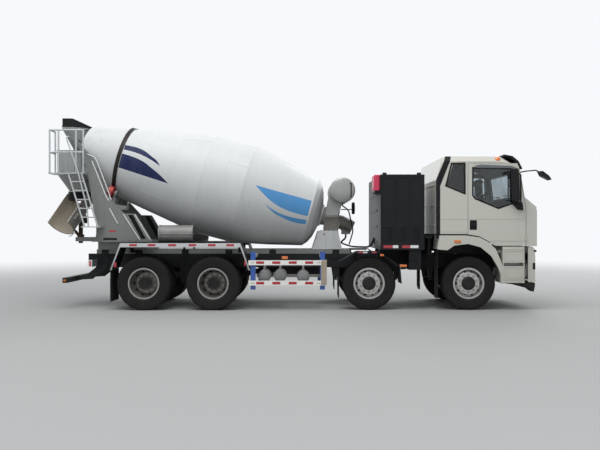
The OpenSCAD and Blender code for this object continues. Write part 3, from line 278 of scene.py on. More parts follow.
def slab(low, high, round_off=0.004, steps=2):
    """A block between two corners, its edges rounded."""
    low, high = Vector(low), Vector(high)
    piece = begin((low + high) / 2, size=1)
    piece.scale = high - low
    done(piece)
    edit()
    bpy.ops.mesh.bevel(offset=round_off, segments=steps, affect="EDGES")
    return done(piece)


clamps = [slab((x - 0.07, 0.43, 0.98), (x + 0.07, 0.442, 1.165), 0.003)
    for x in (0.95, -0.35, -1.25, -2.15, -3.1, -3.8)]
fit_pair("sub_frame_clamps", clamps, frame_black)

# Axles, knuckles, springs and drive line. Cast and forged iron in black wax with road dirt;
# the spring leaves are held by U-bolts over the axles.
axle_iron = coat("axle_iron", (0.035, 0.034, 0.033), 0.62, metal=0.3, cloud=0.3, grain=0.5, grain_scale=45, dust=0.3,
    dust_top=1.1)
dress(axle_iron, "axle_beams", "leaf_springs", "drive_line", "knuckle_1r", "knuckle_1l", "knuckle_2r", "knuckle_2l")
u_bolts = []
low, high = 0.385, 0.6
for x in (3.458, 3.582, 1.508, 1.632):
    for y in (0.335, 0.435):
        u_bolts.append(done(begin((x, y, (low + high) / 2), "cylinder", vertices=12, radius=0.011, depth=high - low)))
    u_bolts.append(slab((x - 0.011, 0.324, high - 0.012), (x + 0.011, 0.446, high + 0.01)))
fit_pair("spring_u_bolts", u_bolts, axle_iron)

# Tyres. Heavy road tyres: ribbed on the four steered wheels, block tread on the eight driven ones.
# Carcass, bead line and rim guard are turned; shoulder lugs and tread blocks stand on it.
tyre_black = coat("tyre_rubber", (0.018, 0.018, 0.018), 0.78, cloud=0.2, grain=0.35, grain_scale=160, dust=0.15,
    dust_top=1.0)
groove_half, groove_deep = 0.008, 0.008
tyre_outline = [(0.118, 0.287), (0.125, 0.3), (0.127, 0.306), (0.133, 0.318), (0.1425, 0.345), (0.1445, 0.352),
    (0.1425, 0.358), (0.1475, 0.392), (0.149, 0.418), (0.147, 0.448), (0.1445, 0.46), (0.1455, 0.463), (0.1435, 0.472),
    (0.1425, 0.492), (0.137, 0.504), (0.126, 0.508)]


def outlined(points):
    """A line drawn point by point, left open for editing with all of it selected."""
    points = [Vector(p) for p in points]
    piece = begin(points[0], "plane", size=0.01)
    done(piece)
    edit()
    bpy.ops.mesh.merge(type="CENTER")
    for a, b in zip(points, points[1:]):
        bpy.ops.mesh.extrude_region_move(TRANSFORM_OT_translate={"value": b - a})
    bpy.ops.mesh.select_all(action="SELECT")
    return piece


def turned(outline, centre, axis, steps=64, across=None):
    """A round piece: an outline of (along, radius) steps spun about its axis. An outline that ends
    on the axis is closed across its back; any other is closed on itself."""
    axis = Vector(axis).normalized()
    across = Vector(across) if across else axis.orthogonal().normalized()
    centre = Vector(centre)
    outline = list(outline)
    if outline[-1][1] == 0 and outline[0][1] > 0:
        outline.insert(0, (outline[0][0], 0.0))
    elif outline[0][1] > 0 and outline[0] != outline[-1]:
        outline.append(outline[0])
    piece = outlined([centre + axis * a + across * r for a, r in outline])
    bpy.ops.mesh.spin(steps=steps, angle=math.radians(360), center=centre, axis=axis)
    bpy.ops.mesh.select_all(action="SELECT")
    bpy.ops.mesh.remove_doubles(threshold=0.0002)
    bpy.ops.mesh.normals_make_consistent(inside=False)
    return done(piece)


def carcass(base_r, rib_r):
    """Half profiles joined over the tread, with four grooves between the ribs."""
    outline = list(tyre_outline)
    outline.append((0.118, base_r))
    for g in (0.096, 0.034, -0.034, -0.096):
        outline += [(g + groove_half, rib_r), (g + 0.005, base_r - groove_deep),
            (g - 0.005, base_r - groove_deep), (g - groove_half, rib_r)]
    outline.append((-0.118, base_r))
    outline += [(-a, r) for a, r in reversed(tyre_outline)]
    return turned(outline, (0, 0, 0), (0, 1, 0), steps=112, across=(0, 0, 1))


def tilted(piece, centre, degrees, axis):
    """Turns a piece about a point."""
    shift = Matrix.Translation(centre)
    piece.data.transform(shift @ Matrix.Rotation(math.radians(degrees), 4, axis) @ shift.inverted())


def around(low, high, count, tilt, chamfer=0.003):
    """One lug modelled at the top of the tyre and repeated round it."""
    lug = slab(low, high, chamfer, 1)
    tilted(lug, (Vector(low) + Vector(high)) / 2, tilt, "Z")
    bpy.context.view_layer.objects.active = lug
    edit()
    bpy.ops.mesh.spin(steps=count, dupli=True, angle=math.radians(360), center=(0, 0, 0), axis=(0, 1, 0))
    bpy.ops.mesh.select_all(action="SELECT")
    bpy.ops.mesh.remove_doubles(threshold=0.0001)
    return done(lug, 30)


steer_tyre = joined([carcass(0.516, 0.5218), around((-0.017, -0.1285, 0.498), (0.017, -0.106, 0.5195), 66, -6),
    around((-0.017, 0.106, 0.498), (0.017, 0.1285, 0.5195), 66, 6)])
drive_tyre = [carcass(0.508, 0.509)]
for k, (a, b) in enumerate(((-0.131, -0.098), (-0.09, -0.04), (-0.028, 0.028), (0.04, 0.09), (0.098, 0.131))):
    row = around((-0.0215, a, 0.5), (0.0215, b, 0.5212), 58, 8 if k % 2 else -8)
    row.data.transform(Matrix.Rotation(math.radians(3.1 * (k % 2)), 4, "Y"))
    drive_tyre.append(row)
drive_tyre = joined(drive_tyre)
hub_z, steered_y, twin_ys = 0.522, 1.01, (1.085, 0.755)
wheels = [("%d%s" % (i + 1, letter), i < 2, x, side) for i, x in enumerate((3.52, 1.57, -1.48, -2.83))
    for letter, side in (("l", 1), ("r", -1))]
for tag, steered, x, side in wheels:
    if steered:
        tyres = [copied(steer_tyre, (x, side * steered_y, hub_z))]
    else:
        tyres = [copied(drive_tyre, (x, side * y, hub_z)) for y in twin_ys]
    fit("road_tyre_" + tag, tyres, tyre_black, "wheel_" + tag, ["tyre_" + tag])
for pattern in (steer_tyre, drive_tyre):
    bpy.data.objects.remove(pattern)

# Wheels. Steered ones are forged aluminium discs, turned bright, with ten hand holes;
# driven ones are painted steel pairs whose outer disc lies deep inside. Ten nuts hold each.
wheel_alloy = coat("wheel_alloy", (0.5, 0.5, 0.49), 0.28, metal=0.85, cloud=0.12, cloud_scale=8, grain=0.1, dust=0.18,
    dust_top=1.0, dust_colour=(0.3, 0.28, 0.25))
wheel_steel = coat("wheel_steel", (0.21, 0.205, 0.19), 0.48, metal=0.5, cloud=0.2, cloud_scale=7, grain=0.25,
    dust=0.25, dust_top=1.0, dust_colour=(0.2, 0.18, 0.16))
hub_black = coat("hub_black", (0.016, 0.016, 0.017), 0.45, cloud=0.3, cloud_scale=9, grain=0.3, dust=0.35)
nut_steel = coat("nut_steel", (0.36, 0.33, 0.29), 0.4, metal=0.9, cloud=0.25, cloud_scale=30)


def pin(place, radius, depth, chamfer, vertices=12, rotation=(0, 0, 0)):
    """A short round bar with chamfered ends."""
    piece = begin(place, "cylinder", vertices=vertices, radius=radius, depth=depth, rotation=rotation)
    done(piece)
    edit()
    bpy.ops.mesh.bevel(offset=chamfer, segments=1)
    return done(piece)


def nut_ring(centre, side, face, ring, radius):
    """Ten wheel nuts on their circle, each a hexagon on a round flange with the stud's end showing."""
    nut = bolt_head((0, 0, 0), (0, side, 0), radius)
    stud = pin((0, side * radius * 1.3, 0), radius * 0.55, radius * 1.4, radius * 0.12,
        rotation=(math.radians(90), 0, 0))
    one = joined([nut, stud])
    parts = []
    for k in range(10):
        a = math.radians(36 * k + 18)
        parts.append(copied(one, (centre[0] + ring * math.cos(a), centre[1] + side * face,
            centre[2] + ring * math.sin(a))))
    bpy.data.objects.remove(one)
    return joined(parts)


nut_circle, nut_radius = 0.1675, 0.017
for tag, steered, x, side in wheels:
    body, out, up = "wheel_" + tag, (0, side, 0), (0, 0, 1)
    if steered:
        y, disc, cap_from, cap_to, cap_r, low, high = steered_y, 0.104, 0.104, 0.163, 0.122, -0.12, 0.03
        dress(wheel_alloy, "rim_" + tag)
    else:
        y, disc, cap_from, cap_to, cap_r, low, high = twin_ys[0], -0.139, 0.03, 0.046, 0.114, -0.3, -0.165
        dress(wheel_steel, "rim_" + tag)
    middle = (x, side * y, hub_z)
    fit("wheel_nuts_" + tag, [nut_ring(middle, side, disc, nut_circle, nut_radius)], nut_steel, body)
    cap = [turned([(cap_from, cap_r + 0.012), (cap_from + 0.008, cap_r + 0.012), (cap_from + 0.01, cap_r),
        (cap_to - 0.012, cap_r - 0.008), (cap_to, cap_r - 0.022), (cap_to, 0.062), (cap_to + 0.006, 0.056),
        (cap_to + 0.006, 0)], middle, out, 48, up)]
    for k in range(8):
        a, r = math.radians(45 * k), cap_r - 0.036
        cap.append(bolt_head((x + r * math.cos(a), side * (y + cap_to - 0.001), hub_z + r * math.sin(a)), out, 0.007))
    fit("hub_cap_" + tag, cap, hub_black, body)
    # brake drum, dark behind the disc's hand holes
    brake = turned([(low, 0.13), (low, 0.236), (low + 0.02, 0.246), (high - 0.02, 0.246), (high, 0.236), (high, 0.13)],
        middle, out, 48, up)
    fit("brake_drum_" + tag, [brake], hub_black, body)
    # lip of the outer rim, turned bright, and the valve
    lip = turned([(0.127, 0.284), (0.1285, 0.292), (0.1285, 0.302), (0.125, 0.3065), (0.119, 0.3065)], middle, out, 96,
        up)
    valve = pin((x + 0.262, side * (y + 0.1), hub_z), 0.005, 0.07, 0.0015, rotation=(math.radians(90), 0, 0))
    fit("rim_lip_" + tag, [lip, valve], wheel_alloy, body)

# Cab. A welded steel shell in cream-white gloss paint with a flat floor and a curved face;
# the doors, bumper, step boxes and wheel arch lips are sprayed the same colour.
cab_cream = coat("cab_cream_paint", (0.555, 0.55, 0.485), 0.22, cloud=0.03, grain=0.05, grain_scale=220, dust=0.22,
    dust_top=1.5, gloss_coat=0.6)
dress(cab_cream, "cab_shell", "door_r", "door_l", "front_bumper", "step_fenders")
trim_black = coat("black_moulded_plastic", (0.02, 0.02, 0.022), 0.48, cloud=0.15, grain=0.6, grain_scale=240,
    dust=0.25, dust_top=1.6)
dress(trim_black, "cab_trim")

# Side windows in the cab's rear quarter: black rubber frames over a pressed rebate.
frame_y = -1.2475
quarter = [(3.15, 2.876), (3.436, 2.884), (3.44, 2.25), (3.034, 2.416)]


def pushed(push):
    """Pushes what is drawn out to its thickness, with its faces outward."""
    bpy.ops.mesh.extrude_region_move(TRANSFORM_OT_translate={"value": Vector(push)})
    bpy.ops.mesh.select_all(action="SELECT")
    bpy.ops.mesh.normals_make_consistent(inside=False)


def window_frame(outline, y, width, depth):
    """A rubber frame: the opening's outline, inset, its middle taken out, and pushed to its depth."""
    piece = outlined([(x, y, z) for x, z in outline])
    bpy.ops.mesh.edge_face_add()
    bpy.ops.mesh.inset(thickness=width, depth=0)
    bpy.ops.mesh.delete(type="FACE")
    bpy.ops.mesh.select_all(action="SELECT")
    pushed((0, depth, 0))
    bpy.ops.mesh.bevel(offset=0.002, segments=2, affect="EDGES")
    return done(piece)


fit_pair("quarter_window_frames", [window_frame(quarter, frame_y, 0.034, 0.012)], trim_black, "cab")
curtain_cloth = coat("curtain_cloth", (0.045, 0.046, 0.05), 0.9, cloud=0.2, cloud_scale=9, grain=1.0, grain_scale=300)
folds = []
for k in range(9):
    x = 3.036 + 0.046 * k
    folds.append(slab((x, -1.168 + 0.008 * (k % 2), 2.26), (x + 0.048, -1.152 + 0.008 * (k % 2), 2.875), 0.006, 3))
fit_pair("bunk_curtains", folds, curtain_cloth, "cab")

# Door windows: a black rubber frame, wider below, and a smoked rain strip clipped over each.
door_pane = [(3.562, 2.795), (4.462, 2.773), (4.475, 2.114), (4.075, 1.972), (3.61, 2.166), (3.56, 2.238)]


def fit_doors(name, parts, finish):
    """A piece of the right door and its mirror image on the left door."""
    right, left = both(joined(parts))
    fit(name + "_l", [left], finish, "door_left")
    fit(name + "_r", [right], finish, "door_right")


fit_doors("door_window_frame", [window_frame(door_pane, frame_y, 0.03, 0.014)], trim_black)
smoked = coat("smoked_acrylic", (0.11, 0.12, 0.135), 0.12, cloud=0.1, grain=0.02, gloss_coat=0.5)
rain_y = -1.262
rain = [(3.62, 2.775), (4.3, 2.765), (4.44, 2.735), (4.45, 2.765), (4.33, 2.812), (3.72, 2.838), (3.62, 2.815)]


def drawn(points, push, round_off=0.0):
    """A flat outline drawn point by point, then pushed out to its thickness."""
    piece = outlined(points)
    bpy.ops.mesh.edge_face_add()
    pushed(push)
    if round_off:
        bpy.ops.mesh.bevel(offset=round_off, segments=2, affect="EDGES", clamp_overlap=True)
    return done(piece)


rain = drawn([(x, rain_y, z) for x, z in rain], (0, 0.004, 0), 0.0015)
lip = [(3.62, 2.812), (3.72, 2.835), (4.33, 2.809), (4.33, 2.814), (3.72, 2.84), (3.62, 2.817)]
lip = drawn([(x, rain_y, z) for x, z in lip], (0, 0.0165, 0), 0.001)
fit_doors("rain_strip", [rain, lip], smoked)

# Glass. Tinted safety glass in the doors and quarters, a clearer laminated windscreen.
tinted = bpy.data.materials.new("tinted_safety_glass")
tinted.use_nodes = True
tree = tinted.node_tree
pane = tree.nodes["Principled BSDF"]
film = wire(tree, "TexNoise", Vector=wire(tree, "TexCoord").outputs["Object"], Scale=3.0, Detail=6.0).outputs["Fac"]
film = wire(tree, "MapRange", i0=film, i1=0.4, i2=0.8, i3=0.015, i4=0.06).outputs[0]
tree.links.new(film, pane.inputs["Roughness"])
pane.inputs["Base Color"].default_value = (0.6, 0.66, 0.68, 1)
pane.inputs["Transmission Weight"].default_value = 1.0
pane.inputs["IOR"].default_value = 1.45
dress(tinted, "cab_glass", "door_glass_r", "door_glass_l")

# Door handles. A black moulded tray in the door's pocket with a pull bar across it and a lock.
tray = slab((3.514, -1.246, 1.566), (3.66, -1.224, 1.768), 0.012, 3)
edit("DESELECT")
bpy.ops.object.mode_set(mode="OBJECT")
for face in tray.data.polygons:
    face.select = face.normal.y < -0.99 and face.area > 0.01
bpy.ops.object.mode_set(mode="EDIT")
bpy.ops.mesh.inset(thickness=0.01, depth=0)
bpy.ops.mesh.inset(thickness=0.006, depth=-0.014)
done(tray)
grip = slab((3.528, -1.262, 1.64), (3.646, -1.246, 1.69), 0.007, 3)
roots = [slab((x, -1.25, 1.645), (x + 0.016, -1.232, 1.685), 0.003) for x in (3.53, 3.628)]
lock = turned([(0.0, 0.011), (0.004, 0.011), (0.005, 0.009), (0.005, 0.0)], (3.587, -1.234, 1.602), (0, -1, 0), 24)
fit_doors("door_handle", [tray, grip, *roots, lock], trim_black)


# Pressed creases along the doors and the cab's sides: one at the handle's height and one low down.
def crease(x0, x1, z, lean=0.0):
    """A shallow raised line along the right side, its lower corner moved forward by its lean."""
    return drawn([(x0 + lean, -1.246, z), (x1, -1.246, z), (x1, -1.246, z + 0.014), (x0, -1.246, z + 0.014)],
        (0, -0.004, 0), 0.0018)


fit_doors("door_crease", [crease(3.494, 4.598, 1.779), crease(3.905, 4.598, 1.352, 0.025)], cab_cream)
fit_pair("cab_creases", [crease(2.946, 3.474, 1.779), crease(2.946, 3.474, 1.53)], cab_cream, "cab")

# Black ribbed strips down the cab's rear corners, which hide the lift struts behind them.
ribs = []
rib_pitch, rib_height = 0.046, 0.022
for k in range(20):
    z = 1.515 + rib_pitch * k
    ribs.append(slab((2.868, -1.253, z), (2.934, -1.2485, z + rib_height), 0.002, 1))
for k in range(11):
    t = (k + 0.4) / 11
    rib = slab((2.872, -1.253, 2.455), (2.936, -1.2485, 2.479), 0.002, 1)
    rib.data.transform(Matrix.Translation((0.158 * t, 0, 0.39 * t)))
    ribs.append(rib)
ribs.append(drawn([(3.001, -1.2462, 2.862), (3.117, -1.2462, 2.862), (3.131, -1.2462, 2.906), (3.015, -1.2462, 2.906)],
    (0, -0.004, 0), 0.001))
ribs.append(drawn([(3.015, -1.2475, 2.905), (3.131, -1.2475, 2.905), (3.165, -1.1675, 3.005), (3.049, -1.1675, 3.005)],
    (0, -0.0032, 0.0026), 0.001))
fit_pair("corner_ribs", ribs, trim_black, "cab")

# Back wall of the cab: three pressed beads across its painted sheet, seen behind the battery box.
back_ribs = [slab((2.85, -1.13, z), (2.8605, 1.13, z + 0.03), 0.005, 3) for z in (1.64, 2.04, 2.44)]
fit("back_wall_ribs", back_ribs, cab_cream, "cab")

# Mirrors. Black moulded housings on bent arms; the silvered glass faces back, in two panes each.
mirror_glass = coat("silvered_glass", (0.8, 0.82, 0.84), 0.05, metal=1.0, cloud=0.02, grain=0.0)
dress(trim_black, "mirror_r", "mirror_l")
panes = [slab((4.229, -1.434, z0), (4.233, -1.313, z1), 0.0015) for z0, z1 in ((2.42, 2.69), (2.18, 2.4))]
fit_doors("mirror_panes", panes, mirror_glass)
rim = slab((4.236, -1.441, 2.17), (4.247, -1.306, 2.7))
tilted(rim, (4.24, 0, 2.43), -3, "Y")
fit_doors("mirror_bezel", [rim, slab((4.39, -1.452, 2.16), (4.404, -1.298, 2.66), 0.005)], trim_black)

# Wipers. Three black pressed arms sweep from the cowl; their blades lie along the screen's foot.
wipers = []


def strip_run(points, radius):
    """A round bar bent along points, its ends closed."""
    line = bpy.data.curves.new("bar", "CURVE")
    line.dimensions = "3D"
    line.bevel_depth, line.bevel_resolution, line.use_fill_caps = radius, 3, True
    run = line.splines.new("POLY")
    run.points.add(len(points) - 1)
    for spot, p in zip(run.points, points):
        spot.co = (*p, 1)
    piece = bpy.data.objects.new("bar", line)
    scene.collection.objects.link(piece)
    bpy.ops.object.select_all(action="DESELECT")
    bpy.context.view_layer.objects.active = piece
    piece.select_set(True)
    bpy.ops.object.convert(target="MESH")
    return done(bpy.context.object, 50)


def between(line, at):
    """A value read off a line of (place, value) points."""
    for (a, p), (b, q) in zip(line, line[1:]):
        if at <= b:
            return p + (q - p) * (at - a) / (b - a)
    return line[-1][1]


def screen_x(y, z):
    """How far forward the windscreen's outer face is at a point."""
    half = [(0.0, 0.0), (0.45, 0.0032), (0.9, 0.0257), (1.165, 0.0557), (1.245, 0.068)]
    return 4.655 - between(half, min(abs(y), 1.245)) - (z - 2.204) * 0.095 / 0.551


for pivot in (-0.86, -0.12, 0.62):
    base = turned([(0, 0.022), (0.02, 0.022), (0.026, 0.014), (0.026, 0.0)],
        (screen_x(pivot, 2.225) + 0.004, pivot, 2.225), (1, 0, 0.17), 24)
    arm = strip_run([(screen_x(pivot + a, 2.225 + b) + 0.026 + c, pivot + a, 2.225 + b)
        for a, b, c in ((0, 0, 0), (0.06, 0.02, 0.004), (0.2, 0.05, 0.004), (0.34, 0.075, 0.0))], 0.007)
    blade = strip_run([(screen_x(pivot + a, 2.285 + 0.05 * a) + 0.012, pivot + a, 2.285 + 0.05 * a)
        for a in [0.04 + 0.056 * k for k in range(11)]], 0.008)
    wipers += [base, arm, blade]
fit("wipers", wipers, trim_black, "cab")

# Screen surround: a black band on the paint round the bonded windscreen.
band = []
for z0, z1, half in ((2.204, 2.252, 1.16), (2.703, 2.742, 1.1)):
    for k in range(12):
        y0, y1 = -half + half / 6 * k, -half + half / 6 * (k + 1)
        corners = [(screen_x(y, z) + 0.001, y, z) for y, z in ((y0, z0), (y1, z0), (y1, z1), (y0, z1))]
        band.append(drawn(corners, (0.004, 0, 0)))
for side in (-1, 1):
    corners = [(screen_x(1.07, 2.25) + 0.001, side * 1.055, 2.25), (screen_x(1.17, 2.25) + 0.001, side * 1.16, 2.25),
        (screen_x(1.1, 2.7) + 0.001, side * 1.1, 2.705), (screen_x(1.01, 2.7) + 0.001, side * 1.0, 2.705)]
    band.append(drawn(corners, (0.004, 0, 0)))
fit("screen_band", band, trim_black, "cab")

# Marker lamps: two amber ones on the roof's shoulders, four small ones in the visor's brow,
# an amber side marker on each wheel arch lip, and two amber ones on the chassis sides.
amber = coat("amber_lens", (0.72, 0.17, 0.02), 0.15, cloud=0.06, grain=0.35, grain_scale=420, gloss_coat=0.6)
roof_lamps = []
for side in (-1, 1):
    roof_lamps.append(turned([(-0.004, 0.052), (0.008, 0.052), (0.014, 0.046), (0.028, 0.028), (0.034, 0.0)],
        (4.07, side * 1.205, 2.955), (0, side * 0.78, 0.62), 32))
for y in (-0.42, -0.14, 0.14, 0.42):
    roof_lamps.append(slab((4.5, y - 0.04, 2.88), (4.526, y + 0.04, 2.905), 0.005))
fit("roof_lamps", roof_lamps, amber, "cab")
sides = [slab(low, high, 0.006, 3) for low, high in (((3.215, -1.262, 1.316), (3.345, -1.244, 1.37)),
    ((2.16, -1.215, 0.848), (2.3, -1.196, 0.894)), ((-0.14, -1.171, 0.996), (-0.02, -1.15, 1.052)))]
fit_pair("side_markers", sides, amber)
brackets = [slab((2.18, -1.197, 0.8), (2.28, -1.186, 0.9), 0.003),
    slab((-0.13, -1.151, 0.94), (-0.03, -1.143, 1.06), 0.003)]
fit_pair("marker_brackets", brackets, frame_black)

# Cab interior. Grey woven seats with side bolsters and head rests, a moulded dash, a rim wheel.
seat_cloth = coat("seat_cloth", (0.16, 0.16, 0.17), 0.9, cloud=0.15, cloud_scale=20, grain=1.0, grain_scale=600)
dress(seat_cloth, "cab_interior")
rests = []
for y in (-0.56, 0.56):
    rests.append(slab((3.3, y - 0.14, 2.56), (3.4, y + 0.14, 2.76), 0.035, 4))
    for dy in (-0.24, 0.19):
        rests.append(slab((3.46, y + dy, 1.84), (4.02, y + dy + 0.05, 1.9), 0.02, 3))
fit("seat_rests", rests, seat_cloth, "cab")

# Face of the cab. A black mesh panel with six bars behind the node's grille, a plain bright bar above it,
# and two raised creases in the cab's own colour.
chrome_trim = coat("bright_trim", (0.72, 0.73, 0.74), 0.14, metal=1.0, cloud=0.05, grain=0.02)


def sag(y):
    """How far the cab's face lies back at a distance from its middle."""
    return 0.136 * (abs(y) / 1.245) ** 3


def face_x(y):
    """The face's flat facets between the cab's ribs."""
    return 4.96 - between([(rib, sag(rib)) for rib in (0.0, 0.45, 0.9, 1.165, 1.245)], min(abs(y), 1.245))


def face_strip(z0, z1, half, thick, pieces, gap=0.0005):
    """A strip across the face that follows its curve."""
    ys = [-half + 2 * half * k / pieces for k in range(pieces + 1)]
    outline = [(face_x(y) + gap, y, z0) for y in ys] + [(face_x(y) + gap + thick, y, z0) for y in reversed(ys)]
    return drawn(outline, (0, 0, z1 - z0), 0.0015)


face = [face_strip(1.405, 1.865, 0.5, 0.003, 8, 0.0002), face_strip(1.985, 2.03, 1.02, 0.004, 12, 0.0)]
face += [face_strip(1.404 + 0.092 * k, 1.416 + 0.092 * k, 0.49, 0.012, 8) for k in range(6)]
fit("grille_mesh", face, trim_black, "cab")
fit("badge_bar", [face_strip(1.885, 1.925, 0.47, 0.008, 8)], chrome_trim, "cab")
fit("face_creases", [face_strip(z, z + 0.012, 1.1, 0.003, 14) for z in (1.345, 1.955)], cab_cream, "cab")

# Bumper. A cream pressing with black lower lip, headlamp pods, fog lamps and a blank plate.
bumper_front = [(y, 4.93 - 0.136 * (abs(y) / 1.225) ** 3) for y in [k * 1.225 / 6 for k in range(-6, 7)]]
plate_white = coat("blank_plate", (0.8, 0.8, 0.78), 0.35, cloud=0.03, dust=0.2, dust_top=1.2)
blank = slab((4.931, -0.75, 0.79), (4.935, -0.31, 0.93), 0.003)
tilted(blank, (4.93, -0.53, 0), -2.6, "Z")
fit("number_plate", [blank], plate_white)


def bumper_x(y):
    """How far forward the bumper's face is, between the points that its edge was bent at."""
    return between(bumper_front, y)


pods = [turned([(0, 0), (0.004, 0.03), (0.012, 0.055), (0.016, 0.068), (0.018, 0.07), (0.018, 0.075), (0, 0.076)],
    ((bumper_x(y0) + bumper_x(y1)) / 2 - 0.008, (y0 + y1) / 2, 0.95), (1, 0.32, 0), 40)
    for y0, y1 in ((0.8, 0.955), (0.965, 1.14))]
lamp_clear = coat("lamp_clear_lens", (0.72, 0.75, 0.78), 0.1, metal=0.55, cloud=0.15, cloud_scale=14, grain=0.25,
    grain_scale=160, gloss_coat=1.0)
dress(lamp_clear, "lamps")
fit_pair("headlamp_bowls", pods, mirror_glass)
rims = []
for z in (0.832, 1.058):
    ys = (0.785, 0.9, 1.02, 1.155)
    outline = [(bumper_x(y) - 0.004, y, z) for y in ys] + [(bumper_x(y) + 0.006, y, z) for y in reversed(ys)]
    rims.append(drawn(outline, (0, 0, 0.01), 0.002))
for y in (0.785, 1.145):
    x = bumper_x(y + 0.005)
    rims.append(slab((x - 0.006, y, 0.832), (x + 0.005, y + 0.01, 1.068), 0.002))
fit_pair("headlamp_rims", rims, trim_black)
fogs = [turned([(0, 0.04), (0.006, 0.042), (0.01, 0.038), (0.012, 0.03), (0.014, 0)], (bumper_x(y) - 0.004, y, 0.7),
    (1, 0.05, 0), 32) for y in (0.62, 0.72)]
fit_pair("fog_lamps", fogs, lamp_clear)
x = bumper_x(0.4)
inlet = [slab((x - 0.02, -0.43, z), (x - 0.006, 0.43, z + 0.014), 0.003) for z in (0.64, 0.675, 0.71)]
fit("inlet_bars", inlet, trim_black)

# Corner of the bumper, seen from the side: a black joint line and two dark vents.
joint = slab((4.586, -1.226, 0.56), (4.604, -1.206, 1.232), 0.003)
fit_pair("bumper_joints", [joint], trim_black)
vents = [slab((4.745, -1.2275, 0.8), (4.8, -1.19, 0.93), 0.006, 3),
    slab((4.765, -1.2275, 1.14), (4.822, -1.19, 1.18), 0.006, 3)]
fit_pair("corner_vents", vents, trim_black)

# Steps under the doors: ribbed pressed panels with two lit wells, each with a chequered alloy tread.
tread_alloy = coat("tread_alloy", (0.5, 0.51, 0.52), 0.35, metal=0.9, cloud=0.15, cloud_scale=6, grain=0.4, dust=0.4,
    dust_top=1.2)
steps = [slab((4.166, -1.2525, z), (4.572, -1.2445, z + 0.022)) for z in (0.6, 0.93, 1.185)]
for z0, z1 in ((0.64, 0.85), (0.965, 1.165)):
    steps.append(window_frame([(4.185, z1), (4.555, z1), (4.555, z0), (4.185, z0)], -1.251, 0.014, 0.007))
fit_pair("step_ribs", steps, cab_cream)
treads = [slab((4.182, -1.24, 0.8625), (4.558, -1.06, 0.868), 0.002)]
for k in range(9):
    x = 4.2 + 0.041 * k
    for j in range(4):
        y = -1.23 + 0.043 * j
        treads.append(slab((x, y, 0.867), (x + 0.022, y + 0.012, 0.871), 0.0015, 1))
fit_pair("step_treads", treads, tread_alloy)

# Front wheel arches. Black moulded liners close the space between the wheel and the frame below the cab's
# floor: an upright inner wall and a roof sheet bent over the tyre, with pressed ribs and clips.
liner = [drawn([(2.96, -0.79, 1.1), (4.08, -0.79, 1.1), (3.96, -0.79, 1.3), (3.76, -0.79, 1.44), (3.06, -0.79, 1.44)],
    (0, -0.008, 0), 0.001), drawn([(3.0, -1.19, 1.29), (3.06, -1.19, 1.44), (3.7, -1.19, 1.44), (3.7, -1.19, 1.432),
    (3.066, -1.19, 1.432), (3.008, -1.19, 1.29)], (0, 0.395, 0), 0.001)]
liner += [slab((3.1 + 0.13 * k, -0.806, 1.11), (3.13 + 0.13 * k, -0.797, 1.425), 0.003, 1) for k in range(6)]
fit_pair("arch_liners", liner, trim_black)
skirt = slab((2.872, -1.203, 1.395), (3.56, -1.196, 1.488), 0.002)
fit_pair("floor_skirts", [skirt], trim_black, "cab")

# Rear support of the cab. A black cross beam behind the cab with a catch, and on each side two shelves on
# posts, a rubber air bellows and four of the hoses that cross from frame to cab.
shelves = [slab((2.69, 0.64, 1.02), (2.77, 0.7, 1.43), 0.005), slab((2.69, 0.64, 1.4), (2.83, 1.06, 1.436), 0.005),
    slab((2.7, 0.69, 1.086), (2.83, 1.08, 1.11), 0.005)]
shelves += [strip_run([(2.76, y, 1.09), (2.76, y, 1.4)], 0.024) for y in (0.72, 1.02)]
support = [slab((2.69, -0.7, 1.2), (2.77, 0.7, 1.27), 0.006), slab((2.645, -0.52, 1.086), (2.85, -0.48, 1.44), 0.006)]
fit("cab_rear_support", support + both(joined(shelves)), frame_black)
cabin_rubber = coat("bellows_rubber", (0.02, 0.02, 0.021), 0.7, cloud=0.2, grain=0.5, grain_scale=200, dust=0.3)
line, fold_pitch = [(1.112, 0), (1.112, 0.06)], 0.054
for k in range(5):
    line += [(1.13 + fold_pitch * k, 0.082), (1.148 + fold_pitch * k, 0.082), (1.166 + fold_pitch * k, 0.064)]
bellows = [turned(line + [(1.398, 0.06), (1.398, 0)], (2.765, 0.87, 0), (0, 0, 1), 40)]


def bent(points, radius, steps=5):
    """The same line of points with its corners rounded."""
    points = [Vector(p) for p in points]
    line = [points[0]]
    for a, b, c in zip(points, points[1:], points[2:]):
        cut = min(radius, (a - b).length / 2.2, (c - b).length / 2.2)
        p, q = b + (a - b).normalized() * cut, b + (c - b).normalized() * cut
        line += [p.lerp(b, k / steps).lerp(b.lerp(q, k / steps), k / steps) for k in range(steps + 1)]
    return line + [points[-1]]


for y in (0.5, 0.535, 0.57, 0.605):
    bellows.append(strip_run(bent([(2.66, y, 1.1), (2.7, y, 1.34), (2.8, y, 1.36), (2.86, y, 1.46)], 0.08), 0.012))
fit_pair("air_bellows", bellows, cabin_rubber)

